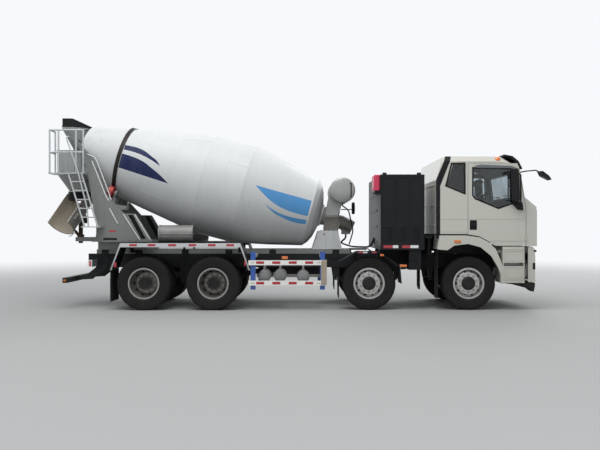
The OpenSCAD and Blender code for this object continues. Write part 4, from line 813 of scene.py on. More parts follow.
# Battery box behind the cab. A tall black steel cabinet in satin paint with three doors a side,
# louvred at the foot, hinged and latched, and a reflective strip along its lower edge.
cabinet_black = coat("cabinet_black_paint", (0.018, 0.019, 0.021), 0.42, cloud=0.12, grain=0.3, grain_scale=180,
    dust=0.08, dust_top=1.6)
dress(cabinet_black, "battery_box")
door_out, door_in = -1.2445, -1.2335
louvre = drawn([(0, door_in, 0), (0, door_out, 0.004), (0, door_out, 0.01), (0, door_in, 0.02)], (0.15, 0, 0), 0.001)
doors = [slab((x - 0.006, door_out, 1.19), (x + 0.012, -1.236, 2.645), 0.003) for x in (1.79, 2.627)]
for x in (1.814, 2.084, 2.354):
    doors += [copied(louvre, (x + 0.05, 0, 1.36 + 0.03 * k)) for k in range(10)]
    doors += [pin((x + 0.012, -1.238, z), 0.008, 0.09, 0.0015, 16) for z in (1.4, 1.95, 2.5)]
    doors.append(turned([(0, 0.016), (0.004, 0.016), (0.006, 0.013), (0.006, 0)], (x + 0.225, -1.233, 1.9), (0, -1, 0),
        24))
    doors.append(slab((x + 0.217, -1.246, 1.86), (x + 0.233, -1.238, 1.93), 0.003))
bpy.data.objects.remove(louvre)
cabinet = both(joined(doors))
cabinet.append(bolt_row([(1.86 + 0.12 * k, y, 2.6495) for k in range(7) for y in (-1.1, 0, 1.1)], (0, 0, 1), 0.014))
cabinet += [slab((1.84, y, 2.6495), (2.58, y + 0.9, 2.658)) for y in (-0.95, 0.05)]
for z in (1.3, 1.62, 1.94, 2.26, 2.54):
    cabinet.append(slab((2.6372, -1.15, z), (2.646, 1.15, z + 0.05)))
    cabinet.append(slab((1.775, -0.66, z), (1.7838, 1.15, z + 0.05)))
fit("cabinet_fittings", cabinet, cabinet_black)

# Reflective tape: alternate red and white lengths in a clear honeycomb face, stuck on by the metre.
tape_red = coat("reflector_red", (0.42, 0.014, 0.03), 0.22, cloud=0.08, cloud_scale=30, grain=0.5, grain_scale=500,
    gloss_coat=0.5)
tape_white = coat("reflector_white", (0.8, 0.8, 0.78), 0.25, cloud=0.05, cloud_scale=30, grain=0.5, grain_scale=500,
    gloss_coat=0.5)


def tape(name, red, white=()):
    """Red and white lengths of tape, each given by its two corners, on both sides of the truck."""
    for tag, spots, finish in (("_red", red, tape_red), ("_white", white, tape_white)):
        if spots:
            fit_pair(name + tag, [slab(low, high, 0.0009, 1) for low, high in spots], finish)


def cabinet_tape(x0, x1):
    """Two corners of a length of tape along the cabinet's foot."""
    return (x0, door_out, 1.216), (x1, door_out + 0.002, 1.27)


tape("cabinet_tape", [cabinet_tape(1.84, 2.02), cabinet_tape(2.2, 2.36)],
    [cabinet_tape(2.022, 2.13), cabinet_tape(2.362, 2.52)])

# Isolator boxes on the cabinet's rear face: two small magenta-red enclosures with screwed lids.
isolator_red = coat("isolator_red_paint", (0.62, 0.03, 0.09), 0.35, cloud=0.08, cloud_scale=12, gloss_coat=0.3)
isolators = []
for y in (-1.13, -0.9):
    isolators += [slab((1.672, y - 0.008, 2.338), (1.78, y + 0.198, 2.652), 0.012, 3),
        slab((1.664, y + 0.01, 2.36), (1.673, y + 0.18, 2.63)), bolt_row([(1.664, y + dy, z) for dy in (0.025, 0.165)
        for z in (2.375, 2.615)], (-1, 0, 0), 0.006)]
fit("isolator_boxes", isolators, isolator_red)

# Control and air dryer boxes low behind the front wheels, black sheet with ribbed covers.
dress(cabinet_black, "control_box")
covers = [slab((2.352 + 0.048 * k, -1.2145, 0.83), (2.376 + 0.048 * k, -1.2045, 1.14)) for k in range(5)]
covers.append(slab((2.4, -1.232, 0.985), (2.52, -1.212, 1.0)))
fit_pair("control_covers", covers, cabinet_black)

# Air tanks. Grey rolled steel with dished ends, held up by two strap bands; drain cocks beneath.
tank_grey = coat("air_tank_paint", (0.22, 0.225, 0.23), 0.42, cloud=0.2, dust=0.3, dust_top=1.1)
dress(tank_grey, "air_tanks")
tanks = []
for x, z in ((-0.488, 0.655), (-0.175, 0.665), (0.279, 0.643)):
    end = [(0, 0.1215), (0.008, 0.1205), (0.022, 0.112), (0.036, 0.088), (0.046, 0.05), (0.05, 0.018), (0.056, 0.016),
        (0.058, 0)]
    tanks.append(turned(end, (x, -1.08, z), (0, -1, 0), 48))
    strap = [(0, 0.1205), (0, 0.1245), (0.036, 0.1245), (0.036, 0.1205)]
    tanks += [turned(strap, (x, y, z), (0, -1, 0), 48) for y in (-0.622, -0.962)]
    tanks.append(pin((x, -0.8, z - 0.128), 0.012, 0.03, 0.002))
fit_pair("air_tank_fittings", tanks, tank_grey)

# Side guards. White painted aluminium rails on blue posts, a tan plate at their front end; the rails are
# bolted and closed by plastic plugs, and four lengths of red reflective tape are on each.
guard_white = coat("guard_white_paint", (0.88, 0.87, 0.82), 0.38, cloud=0.08, streak=0.12, dust=0.1, dust_top=1.0,
    gloss_coat=0.2)
dress(guard_white, "side_guards")
post_blue = coat("guard_post_blue", (0.018, 0.085, 0.36), 0.35, cloud=0.1, dust=0.15, dust_top=0.9, gloss_coat=0.3)
sleeves = [slab((x - 0.004, -1.2125, z0), (x + 0.094, -1.151, z1)) for x in (-0.744, 0.61)
    for z0, z1 in ((0.405, 0.486), (0.583, 0.882), (0.979, 1.142))]
fit_pair("guard_post_sleeves", sleeves, post_blue)
plate_tan = coat("plate_tan_paint", (0.36, 0.3, 0.22), 0.5, cloud=0.3, cloud_scale=5, dust=0.6, dust_top=1.0)
cover = slab((0.628, -1.2435, 0.502), (0.736, -1.2385, 0.982))
fit_pair("guard_end_plates", [cover], plate_tan)
rail_bolts = bolt_row([(x, -1.235, z) for z in (0.535, 0.935) for x in (-0.72, -0.68, 0.56, 0.6)], (0, -1, 0), 0.009)
fit_pair("guard_bolts", [rail_bolts], nut_steel)
plugs = [slab((-0.792, -1.232, z), (-0.785, -1.208, z + 0.088), 0.003) for z in (0.49, 0.89)]
fit_pair("guard_plugs", plugs, trim_black)
rail_tape = [slab((x - 0.078, -1.237, z - 0.026), (x + 0.078, -1.2348, z + 0.026), 0.0008, 1) for z in (0.535, 0.934)
    for x in (-0.558, -0.244, 0.076, 0.395)]
fit_pair("guard_reflectors", rail_tape, tape_red)

# Mudguards. Black pressed sheet over the second and the driven axles, with rolled edges, a light
# aluminium strip along the rear ones, stiffening beads, tape, and orange lamps on the middle ones.
guard_black = coat("mudguard_black", (0.02, 0.022, 0.024), 0.48, cloud=0.2, dust=0.3, dust_top=1.3, streak=0.2)
dress(guard_black, "mudguards")
edges = [strip_run([(0.981, -1.21, 0.946), (1.328, -1.21, 1.15), (1.738, -1.21, 1.15), (2.165, -1.21, 0.856),
    (2.194, -1.21, 0.527)], 0.008)]
edges += [slab((x, -1.19, 1.148), (x + 0.03, -0.82, 1.155), 0.003) for x in (1.36, 1.5, 1.64)]
fit_pair("mudguard_edges", edges, guard_black)
strip_light = coat("guard_strip_alloy", (0.58, 0.6, 0.61), 0.34, metal=0.85, cloud=0.12, grain=0.2, dust=0.45,
    dust_top=1.5)
strips = [slab((-3.284, -1.2385, 1.232), (-0.94, -1.2348, 1.312), 0.0015)]
skin_y = -1.2345
for x0, x1, inward in ((-3.285, -3.448, -0.03), (-0.939, -0.789, 0.03)):
    strips.append(drawn([(x0, skin_y, 1.222), (x1, skin_y, 0.793), (x1 + inward, skin_y, 0.793), (x0, skin_y, 1.304)],
        (0, -0.0035, 0), 0.001))
    strips.append(slab((min(x1, x1 + inward) - 0.004, -1.2385, 0.786), (max(x1, x1 + inward) + 0.004, -0.72, 0.7925),
        0.002))
fit_pair("guard_strips", strips, strip_light)
tape("guard_tape", [((x - 0.075, -1.2398, 1.25), (x + 0.075, -1.238, 1.296))
    for x in (-3.03, -2.67, -2.27, -1.875, -1.5, -1.14)] + [((-3.4, -1.2398, 0.845), (-3.355, -1.238, 0.94)),
    ((-0.868, -1.2398, 0.875), (-0.835, -1.238, 0.965))])
tape("middle_tape", [((1.355, -1.2145, 1.118), (1.445, -1.213, 1.146)),
    ((1.62, -1.2145, 1.118), (1.71, -1.213, 1.146))], [((1.447, -1.2145, 1.118), (1.53, -1.213, 1.146))])
lip = slab((1.34, -1.213, 1.112), (1.728, -1.2095, 1.15), 0.002)
fit_pair("middle_guard_lips", [lip], guard_black)
fit_pair("guard_lamps", [slab((1.776, -1.232, 1.058), (1.85, -1.205, 1.096), 0.009, 3)], amber)
beads = [slab((x, -1.19, 1.3055), (x + 0.05, -0.66, 1.3125), 0.003) for x in (-3.05, -2.6, -2.15, -1.7, -1.25)]
fit_pair("guard_beads", beads, guard_black)

# Mud flaps. Black moulded rubber sheets with raised ribs, hung from bolted clamp bars.
rubber = coat("flap_rubber", (0.019, 0.019, 0.02), 0.72, cloud=0.25, grain=0.6, grain_scale=220, dust=0.4,
    dust_top=0.9)
dress(rubber, "rubber_flaps")
rib_pitch, rib_width, bolt_pitch = 0.055, 0.018, 0.08
ribs, bars = [], []
for x, y0, y1, z0, z1, bar_x, bar_y, bar_z in ((2.88, 0.88, 1.2, 0.23, 1.15, 2.876, 1.2, 1.13),
        (0.96, 0.86, 1.18, 0.24, 0.9, 0.966, 1.18, 0.895), (-3.48, 0.64, 1.235, 0.17, 0.74, -3.475, 1.225, 0.745)):
    for k in range(int((y1 - y0 - 0.06) / rib_pitch)):
        y = -y1 + 0.035 + rib_pitch * k
        ribs += [slab((x + dx, y, z0 + 0.05), (x + dx + 0.008, y + rib_width, z1 - 0.1), 0.003, 1)
            for dx in (0.006, -0.008)]
    bars.append(slab((bar_x + 0.006, -bar_y + 0.01, bar_z), (bar_x + 0.016, -y0 - 0.01, bar_z + 0.03), 0.002))
    bars.append(bolt_row([(bar_x + 0.016, -y0 - 0.06 - bolt_pitch * k, bar_z + 0.015)
        for k in range(int((bar_y - y0 - 0.1) / bolt_pitch) + 1)], (1, 0, 0), 0.007))
fit_pair("flap_ribs", ribs, rubber)
fit_pair("flap_bars", bars, guard_black)

# Rear lamps and underrun bar. Black brackets with red and amber lenses, tape at the bar's ends.
dress(guard_black, "rear_underrun")
lens_red = coat("tail_lens_red", (0.55, 0.012, 0.015), 0.15, cloud=0.1, grain=0.35, grain_scale=260, gloss_coat=1.0)
lenses = [slab((-4.016, -0.7, 0.85), (-4.0085, -0.575, 0.95)), slab((-4.016, -0.8, 0.85), (-4.0085, -0.71, 0.95)),
    slab((-3.985, -0.908, 0.845), (-3.945, -0.8985, 0.955))]
fit_pair("tail_lenses", lenses, lens_red)
fit_pair("signal_lenses", [slab((-4.016, -0.89, 0.85), (-4.0085, -0.81, 0.95))], amber)
tape("underrun_tape", [((-4.36, -1.1522, 0.56), (-4.34, -1.1492, 0.604)),
    ((-4.4352, -1.14, 0.56), (-4.4325, -0.98, 0.604)), ((-4.4352, -0.7, 0.56), (-4.4325, -0.54, 0.604))])
end = slab((-4.43, -1.156, 0.535), (-4.336, -1.149, 0.629))
fit_pair("underrun_ends", [end], trim_black)
fit_pair("underrun_lamps", [slab((-4.41, -1.166, 0.565), (-4.365, -1.155, 0.6))], amber)

# Drum. Rolled steel plate painted pale grey white, with two sky blue and two navy waves on each side,
# run-down streaks, splashes of cement water towards the mouth and faint smears along its length.
drum_start = Vector((0.647, 0.0, 1.882))
drum_axis = Vector((-math.cos(math.radians(15)), 0, math.sin(math.radians(15))))
drum_up = Vector((math.sin(math.radians(15)), 0, math.cos(math.radians(15))))
drum_paint = coat("drum_paint", (0.56, 0.575, 0.575), 0.42, cloud=0.03, cloud_scale=2.5, streak=0.1, dust=0.12,
    dust_top=2.2)
tree = drum_paint.node_tree
shader = tree.nodes["Principled BSDF"]
sheet = shader.inputs["Base Color"].links[0].from_socket
offset = wire(tree, "VectorMath", {"operation": "SUBTRACT"}, i0=wire(tree, "TexCoord").outputs["Object"],
    i1=drum_start).outputs[0]


def along_way(way):
    """How far a place lies from the drum's foot in a direction."""
    return wire(tree, "VectorMath", {"operation": "DOT_PRODUCT"}, i0=offset, i1=way).outputs["Value"]


along, rise = along_way(drum_axis), along_way(drum_up)
aside = wire(tree, "Math", {"operation": "ABSOLUTE"}, i0=wire(tree, "SeparateXYZ", i0=offset).outputs[1]).outputs[0]


def calc(kind, one, two):
    """A sum of two values in the drum's paint."""
    return wire(tree, "Math", {"operation": kind}, i0=one, i1=two).outputs[0]


around = calc("MULTIPLY", calc("ARCTAN2", aside, rise), 180 / math.pi)
sky_blue, navy = (0.085, 0.28, 0.56, 1.0), (0.006, 0.013, 0.065, 1.0)


def turned_into(value, low, high, end=1.0):
    """A value's range made one from nothing to an end value."""
    return wire(tree, "MapRange", i0=value, i1=low, i2=high, i4=end).outputs[0]


def laid_over(amount, under, over):
    """One colour over another by an amount."""
    return wire(tree, "Mix", {"data_type": "RGBA"}, i0=amount, i6=under, i7=over).outputs[2]


def wave(where, around, sheet, high, low, s_from, s_to, colour):
    """One painted wave: between two drawn edges, each an angle that changes along the drum."""
    mapped = turned_into(where, s_from, s_to)
    edges = []
    for outline in (high, low):
        node = wire(tree, "FloatCurve", i1=mapped)
        curve = node.mapping.curves[0]
        marks = sorted((((s - s_from) / (s_to - s_from), a / 180) for s, a in outline))
        curve.points[0].location, curve.points[1].location = marks[0], marks[-1]
        for mark in marks[1:-1]:
            curve.points.new(*mark)
        node.mapping.update()
        edges.append(calc("MULTIPLY", node.outputs[0], 180.0))
    inside = calc("GREATER_THAN", around, edges[0])
    for value, limit, kind in ((around, edges[1], "LESS_THAN"), (where, s_from, "GREATER_THAN"),
            (where, s_to, "LESS_THAN")):
        inside = calc("MULTIPLY", inside, calc(kind, value, limit))
    return laid_over(inside, sheet, colour)


for high, low, s_from, s_to, colour in (([(0.305, 73.0), (0.919, 76.0), (1.421, 77.3)],
        [(0.292, 98.3), (0.718, 96.6), (0.999, 91.6), (1.187, 85.8), (1.421, 77.3)], 0.26, 1.421, sky_blue),
        ([(0.313, 105.0), (0.755, 104.0), (0.963, 100.5), (1.166, 94.4)],
        [(0.299, 112.4), (0.536, 111.8), (0.809, 107.1), (0.951, 103.6), (1.166, 94.4)], 0.26, 1.166, sky_blue),
        ([(3.109, 102.5), (3.316, 95.1), (3.502, 89.7), (3.751, 82.9), (4.156, 78.8)],
        [(3.109, 102.5), (3.678, 101.8), (4.179, 101.1)], 3.109, 4.2, navy),
        ([(3.365, 84.0), (3.441, 79.1), (3.607, 73.1), (3.829, 66.3), (4.115, 63.7)],
        [(3.365, 84.0), (3.611, 78.0), (3.849, 73.8), (4.13, 71.9)], 3.365, 4.2, navy)):
    sheet = wave(along, around, sheet, high, low, s_from, s_to, colour)
splash = wire(tree, "TexNoise", Vector=offset, Scale=9.0, Detail=8.0).outputs["Fac"]
splash = calc("MULTIPLY", turned_into(splash, 0.5, 0.66, 0.18), turned_into(along, 3.9, 5.1))
tone = laid_over(splash, sheet, (0.33, 0.32, 0.3, 1.0))
smear = wire(tree, "Mapping", Vector=offset, Scale=(1.0, 0.15, 0.15)).outputs[0]
smear = wire(tree, "TexNoise", Vector=smear, Scale=7.0, Detail=4.0).outputs["Fac"]
tone = laid_over(turned_into(smear, 0.5, 0.8, 0.08), tone, (0.3, 0.29, 0.28, 1.0))
tree.links.new(tone, shader.inputs["Base Color"])
shader.inputs["Specular IOR Level"].default_value = 0.25
dress(drum_paint, "drum")

# Welds of the drum. A raised bead where the rings meet and one along each ring, ground and painted
# over; on the far side a bolted hatch cover with its lifting handle.
drum_shape = [(0.22, 0.72), (0.9, 0.885), (1.65, 1.042), (2.5, 1.042), (4.25, 0.74), (5.1, 0.56)]
welds = []


def drum_radius(s):
    """Outer radius of the drum at a distance along its axis."""
    return between(drum_shape, s)


for s in (0.235, 0.9, 1.65, 2.075, 2.5, 3.08, 3.66, 4.72):
    r = drum_radius(s)
    welds.append(turned([(s - 0.009, r - 0.006), (s - 0.006, r + 0.0015), (s, r + 0.0035), (s + 0.006, r + 0.0015),
        (s + 0.009, r - 0.006)], drum_start, drum_axis, 96))


def on_drum(s, angle, lift=0.0):
    """A point on the drum: along its axis, and in degrees from its top towards the driver's off side."""
    a, r = math.radians(angle), drum_radius(s) + lift
    return drum_start + drum_axis * s + drum_up * (r * math.cos(a)) - Vector((0, 1, 0)) * (r * math.sin(a))


for s0, s1, angles in ((0.9, 1.65, (10, 130, 250)), (1.65, 2.075, (60, 240)), (2.075, 2.5, (150, 330)),
        (2.5, 3.08, (35, 215)), (3.08, 3.66, (125, 305))):
    for angle in angles:
        welds.append(strip_run([on_drum(s0, angle), on_drum(s1, angle)], 0.0035))
fit("drum_welds", welds, drum_paint, "drum_body")
hatch = slab((1.84, 1.03, -0.2), (2.3, 1.052, 0.2), 0.008)
studs = bolt_row([(1.87 + 0.065 * k, 1.052, z) for k in range(7) for z in (-0.17, 0.17)] + [(x, 1.052, z)
    for x in (1.87, 2.26) for z in (-0.085, 0.0, 0.085)], (0, 1, 0), 0.009)
grip = strip_run(bent([(2.0, 1.045, 0), (2.0, 1.078, 0), (2.14, 1.078, 0), (2.14, 1.045, 0)], 0.012), 0.006)
hatch = joined([hatch, studs, grip])
stand = Matrix(((drum_axis.x, 0, drum_up.x, drum_start.x), (0, 1, 0, 0), (drum_axis.z, 0, drum_up.z, drum_start.z),
    (0, 0, 0, 1)))
hatch.data.transform(stand @ Matrix.Rotation(math.radians(24), 4, "X"))
hatch.data.flip_normals()
fit("hatch_cover", [hatch], drum_paint, "drum_body")

# Support ring and rollers. A turned steel track near the mouth, brown-black from grease, with a
# shallow lip each side; two red rollers on shafts in bearings, bolted to the pedestal's brackets.
track = coat("track_steel", (0.03, 0.026, 0.024), 0.45, metal=0.3, cloud=0.25, cloud_scale=4, grain=0.3)
dress(track, "drum_ring")
track_lips = [turned([(s, 0.735), (s, 0.762), (s + 0.008, 0.762), (s + 0.008, 0.735)], drum_start, drum_axis, 96)
    for s in (4.211, 4.281)]
fit("track_lips", track_lips, track, "drum_body")
roller_red = coat("roller_red_paint", (0.34, 0.028, 0.022), 0.45, cloud=0.25, dust=0.2, dust_top=2.4)
dress(roller_red, "roller_r", "roller_l")
reach, roller_angle = 0.8853, math.radians(41.4)
for side, name in ((-1, "roller_right"), (1, "roller_left")):
    hub = drum_start + drum_axis * 4.25 - drum_up * (reach * math.cos(roller_angle))
    hub += Vector((0, side * reach * math.sin(roller_angle), 0))
    discs, bearings = [], []
    for face in (-drum_axis, drum_axis):
        for outline in ([(0.044, 0.0), (0.044, 0.062), (0.052, 0.06), (0.056, 0.05), (0.056, 0.0)],
                [(0.044, 0.08), (0.048, 0.083), (0.048, 0.112), (0.044, 0.116)]):
            discs.append(turned(outline, hub, face, 32))
        bearings.append(turned([(0.1005, 0.037), (0.1005, 0.07), (0.122, 0.066), (0.128, 0.05), (0.128, 0.037)], hub,
            face, 32))
    fit(name + "_hub", discs, roller_red, name)
    fit(name + "_bearings", bearings, body_grey)

# Drum drive. Cast grey gearbox with ribs and a bolted flange, and a finned electric motor ahead of it
# with a fan cover and three black cables.
cast_grey = coat("gearbox_cast_grey", (0.27, 0.26, 0.235), 0.5, cloud=0.25, cloud_scale=3, grain=0.5, grain_scale=160,
    dust=0.25, dust_top=2.2)
dress(cast_grey, "drum_gearbox")
ring = [drum_start - drum_axis * 0.037 + (drum_up * math.cos(a) + Vector((0, math.sin(a), 0))) * 0.165
    for a in [k * math.pi / 8 for k in range(16)]]
drive = [bolt_row(ring, drum_axis, 0.01)]
for start, low, high in ((-0.075, 0.18, 0.198), (-0.375, 0.17, 0.196)):
    drive.append(turned([(start, low), (start, high), (start + 0.03, high), (start + 0.03, low)], drum_start,
        drum_axis, 64))
motor_from, motor_way = Vector((1, 0, 1.77)), Vector((0.32, 0, -0.155))
for k in range(13):
    s = 0.055 + 0.02 * k
    drive.append(turned([(s, 0.13), (s, 0.152), (s + 0.007, 0.152), (s + 0.007, 0.13)], motor_from, motor_way, 48))
drive.append(turned([(0.352, 0.0), (0.352, 0.128), (0.34, 0.139), (0.318, 0.141), (0.318, 0.13), (0.345, 0.12),
    (0.345, 0.0)], motor_from, motor_way, 48))
fit("drum_drive_fins", drive, cast_grey)
black_hose = coat("black_hose", (0.016, 0.016, 0.017), 0.55, cloud=0.15, grain=0.3, grain_scale=140)
cables = [strip_run(bent([(1.18, y, 1.49), (1.18, y, 1.4), (1.06, y * 1.5, 1.3), (1.3, y * 2, 1.215),
    (1.7, y * 2, 1.205), (1.79, y * 2, 1.4)], 0.1), 0.016) for y in (-0.05, 0, 0.05)]
fit("motor_cables", cables, black_hose)

# Water tank. A dull steel drum with dished ends and four raised bands, with a filler cap, a sight tube
# on its end, a wash pipe below it and a coiled hose on a hook.
tank_steel = coat("water_tank_steel", (0.33, 0.335, 0.325), 0.36, metal=0.75, cloud=0.22, cloud_scale=3, grain=0.2,
    streak=0.25)
dress(tank_steel, "water_tank")
tank_at = Vector((1.077, 0.0, 2.376))
end = [(0.745, 0.236), (0.752, 0.2505), (0.76, 0.248), (0.765, 0.236), (0.775, 0.2), (0.784, 0.14), (0.789, 0.07),
    (0.79, 0.0), (0.745, 0.0), (0.745, 0.236)]
ends = [turned(end, tank_at, (0, side, 0)) for side in (-1, 1)]
for y in (-0.7, -0.35, 0.35, 0.7):
    ends.append(turned([(y - 0.008, 0.246), (y - 0.005, 0.254), (y + 0.005, 0.254), (y + 0.008, 0.246)], tank_at,
        (0, 1, 0)))
ends.append(turned([(0.24, 0.0), (0.24, 0.055), (0.285, 0.055), (0.285, 0.072), (0.312, 0.072), (0.318, 0.066),
    (0.318, 0.0)], tank_at + Vector((0, 0.4, 0)), (0, 0, 1), 40))
fit("tank_ends", ends, tank_steel)
fittings = [strip_run(bent([(1.22, -0.785, 2.24), (1.245, -0.8, 2.24), (1.245, -0.8, 2.51), (1.22, -0.785, 2.51)],
    0.02), 0.009), strip_run(bent([(1.077, -0.6, 2.13), (1.077, -0.6, 2.06), (1.2, -0.6, 1.98), (1.3, -0.56, 1.55),
    (1.22, -0.47, 1.27)], 0.08), 0.013)]
for k in range(4):
    turn = [j * math.pi / 12 for j in range(25)]
    fittings.append(strip_run([(1.3 + 0.012 * k, -0.3 + 0.115 * math.cos(a), 2.02 + 0.115 * math.sin(a))
        for a in turn], 0.0095))
fittings.append(slab((1.06, -0.312, 1.985), (1.355, -0.288, 2.004)))
fit("tank_fittings", fittings, black_hose)

# Front pedestal. A pale grey welded stand for the gearbox, gusseted and bolted to the sub-frame.
stand_grey = coat("stand_pale_grey", (0.56, 0.58, 0.575), 0.42, cloud=0.12, streak=0.3, dust=0.2, dust_top=1.9,
    gloss_coat=0.15)
dress(stand_grey, "front_pedestal")
stand = [bolt_row([(x, y, 1.553) for x in (0.66, 0.76, 0.86, 0.95) for y in (-0.36, 0.36)], (0, 0, 1), 0.014)]
for x in (0.592, 0.972):
    stand += [slab((x, y, 1.18), (x + 0.016, y + 0.008, 1.535), 0.002, 1) for y in (-0.4345, 0.4265)]
stand += [slab((0.47, y, 1.172), (1.07, y + 0.006, 1.2), 0.002, 1) for y in (-0.4365, 0.4305)]
stand.append(bolt_row([(0.52 + 0.1 * k, -0.4365, 1.187) for k in range(6)], (0, -1, 0), 0.01))
fit("pedestal_fittings", stand, stand_grey)

# Rear pedestal. Two welded plate frames in grey on a plate above the sub-frame, angle bars along their front
# edges drawn pale as a painted highlight where the edges catch the light, a slot behind a black ribbed panel in
# each foot whose black is painted shade for the slot's shadowed inside, a blank black plate and a reflector.
dress(body_grey, "rear_pedestal")
# The angle bars' pale colour is a painted highlight where the frames' front edges catch the light.
bar_painted_highlight = coat("angle_bar_painted_highlight", (0.66, 0.68, 0.67), 0.4, cloud=0.1, streak=0.15)
plate_y = -0.7825
bars = [strip_run([(x, plate_y, z) for x, z in line], 0.011)
    for line in ([(-4.062, 3.093), (-3.912, 3.03), (-3.86, 2.927), (-3.617, 2.286), (-3.592, 2.183)],
    [(-3.967, 2.953), (-3.681, 2.235), (-3.628, 2.157)], [(-3.617, 2.004), (-3.45, 1.697)],
    [(-3.335, 1.885), (-3.008, 1.372)], [(-3.108, 1.88), (-2.806, 1.372)])]
fit_pair("pedestal_highlight_bars", bars, bar_painted_highlight)
seams = [strip_run([(-3.865, plate_y, 1.6), (-4.045, plate_y, 2.7)], 0.005),
    strip_run([(-3.888, plate_y, 1.43), (-3.862, plate_y, 1.56)], 0.005),
    bolt_row([(x, -0.7805, 1.372) for x in (-3.93, -3.8, -3.36, -3.22, -3.08)], (0, -1, 0), 0.012)]
fit_pair("pedestal_trim", seams, body_grey)
# The black panel in each slot is painted shade: it stands for the shadowed inside of the slot, with ribs drawn on it.
slot = [drawn([(-2.872, -0.744, 1.378), (-2.99, -0.744, 1.378), (-3.256, -0.744, 1.878), (-3.14, -0.744, 1.878)],
    (0, 0.006, 0))]
for k in range(14):
    x, z = -2.965 - 0.0185 * k, 1.4 + 0.035 * k
    slot.append(slab((x, -0.76, z), (x + 0.08, -0.744, z + 0.012), 0.003, 1))
slot.append(slab((-3.735, -0.786, 1.366), (-3.465, -0.7815, 1.41), 0.0015))
fit_pair("slot_shade_panels", slot, trim_black)
tape("pedestal_tape", [((-3.63, -0.784, 1.53), (-3.49, -0.7818, 1.562))])

# Hopper. Folded grey sheet with a round front, stiffening rims and ribs, splashed with dried concrete.
splashed = coat("splashed_grey_paint", (0.34, 0.355, 0.35), 0.55, cloud=0.28, cloud_scale=4, grain=0.7, grain_scale=70,
    streak=0.5)
dress(splashed, "hopper", "collector")


def hopper_edge(z, grow):
    """The hopper's outline at its top: flat behind, round towards the drum."""
    r = 0.42 + grow
    front = [(-4.6 + r * math.sin(a), -r * math.cos(a), z) for a in [k * math.pi / 16 for k in range(17)]]
    return [(-4.686 - grow, r, z), (-4.686 - grow, -r, z)] + front + [(-4.686 - grow, r, z)]


ribs = [strip_run(hopper_edge(z, 0.002), 0.008) for z in (3.66, 3.684)]
for y in (-0.3, -0.1, 0.1, 0.3):
    ribs.append(drawn([(-4.68, y, 3.64), (-4.698, y, 3.64), (-4.552, y * 0.62, 3.3), (-4.532, y * 0.62, 3.3)],
        (0, 0.008, 0), 0.001))
fit("hopper_ribs", ribs, splashed)

# Rubber of the hopper and throat. A flexible collar clamped by a steel band with bolts, a ribbed sleeve.
dress(rubber, "hopper_rubber")
post_foot = (-4.44, 0, 0)
bands = [strip_run(hopper_edge(3.712, 0.003), 0.01)]
for z in (2.215, 2.251, 2.287, 2.323, 2.359):
    bands.append(turned([(z, 0.244), (z + 0.004, 0.2535), (z + 0.014, 0.2535), (z + 0.018, 0.244)], post_foot,
        (0, 0, 1), 48))
fit("rubber_bands", bands, rubber)
clamps = [turned([(2.366, 0.25), (2.366, 0.2545), (2.384, 0.2545), (2.384, 0.25)], post_foot, (0, 0, 1), 48),
    bolt_row([(-4.7, -0.36 + 0.12 * k, 3.712) for k in range(7)], (-1, 0, 0), 0.008)]
fit("rubber_clamps", clamps, nut_steel)

# Collector. Its flared sheet box has a rolled rim above and below and three ribs on each side.
ribs = [slab((x, y, 2.72), (x + 0.014, y + 0.008, 3.17), 0.002, 1) for y in (-0.632, 0.624)
    for x in (-4.7, -4.5, -4.32)]
for z in (2.7, 3.183):
    ribs.append(strip_run([(-4.719, -0.63, z), (-4.234, -0.63, z), (-4.234, 0.63, z), (-4.719, 0.63, z),
        (-4.719, -0.63, z)], 0.009))
fit("collector_ribs", ribs, splashed)

# Service platform, ladder and handrail. Galvanised tube and chequer plate with raised studs, foot collars
# and caps on the handrail's posts, and three stays from the ladder.
galvanised = coat("galvanised_tube", (0.48, 0.5, 0.505), 0.42, metal=0.55, cloud=0.15, cloud_scale=7, grain=0.3,
    dust=0.1, dust_top=2)
dress(galvanised, "service_platform")
deck = []
stud_pitch_x, stud_pitch_y, deck_z = 0.053, 0.055, 2.6995
for i in range(13):
    for j in range(6):
        stud = slab((-0.016, -0.0035, 0), (0.016, 0.0035, 0.003), 0.0014, 1)
        stud.data.transform(Matrix.Translation((-4.736 + stud_pitch_x * i, -0.985 + stud_pitch_y * j, deck_z))
            @ Matrix.Rotation(math.radians(45 if (i + j) % 2 else -45), 4, "Z"))
        deck.append(stud)
fit("deck_studs", deck, galvanised)
fittings = []
for x, y in ((-4.741, -0.993), (-4.565, -0.993), (-4.22, -0.993), (-4.077, -0.993), (-4.741, -0.677)):
    fittings += [turned([(2.7, 0.017), (2.7, 0.034), (2.706, 0.034), (2.712, 0.022), (2.712, 0.017)], (x, y, 0),
        (0, 0, 1), 24), turned([(3.535, 0), (3.535, 0.0185), (3.556, 0.0185), (3.562, 0.012), (3.564, 0)], (x, y, 0),
        (0, 0, 1), 20)]
for z in (1.82, 2.172, 2.525):
    x = -4.05 - (z - 1.64) * 0.3
    fittings.append(strip_run([(x, -0.993, z), (x + 0.26, -0.993, z)], 0.013))
fit("platform_fittings", fittings, galvanised)

# Spare chutes. Half-round dull steel extensions stowed on the mudguards, rims rolled, stained inside.
chute_dull = coat("spare_chute_steel", (0.2, 0.2, 0.19), 0.55, metal=0.35, cloud=0.3, cloud_scale=5, grain=0.5,
    streak=0.35)
dress(chute_dull, "spare_chutes")
lips = [strip_run([(-2.56, y, 1.488), (-1.884, y, 1.488)], 0.008) for y in (-1.179, -0.821)]
for x in (-2.44, -2.0):
    lips.append(strip_run(bent([(x - 0.05, -1.176, 1.44), (x - 0.05, -1.2, 1.44), (x + 0.05, -1.2, 1.44),
        (x + 0.05, -1.176, 1.44)], 0.015), 0.006))
fit_pair("spare_chute_lips", lips, chute_dull)

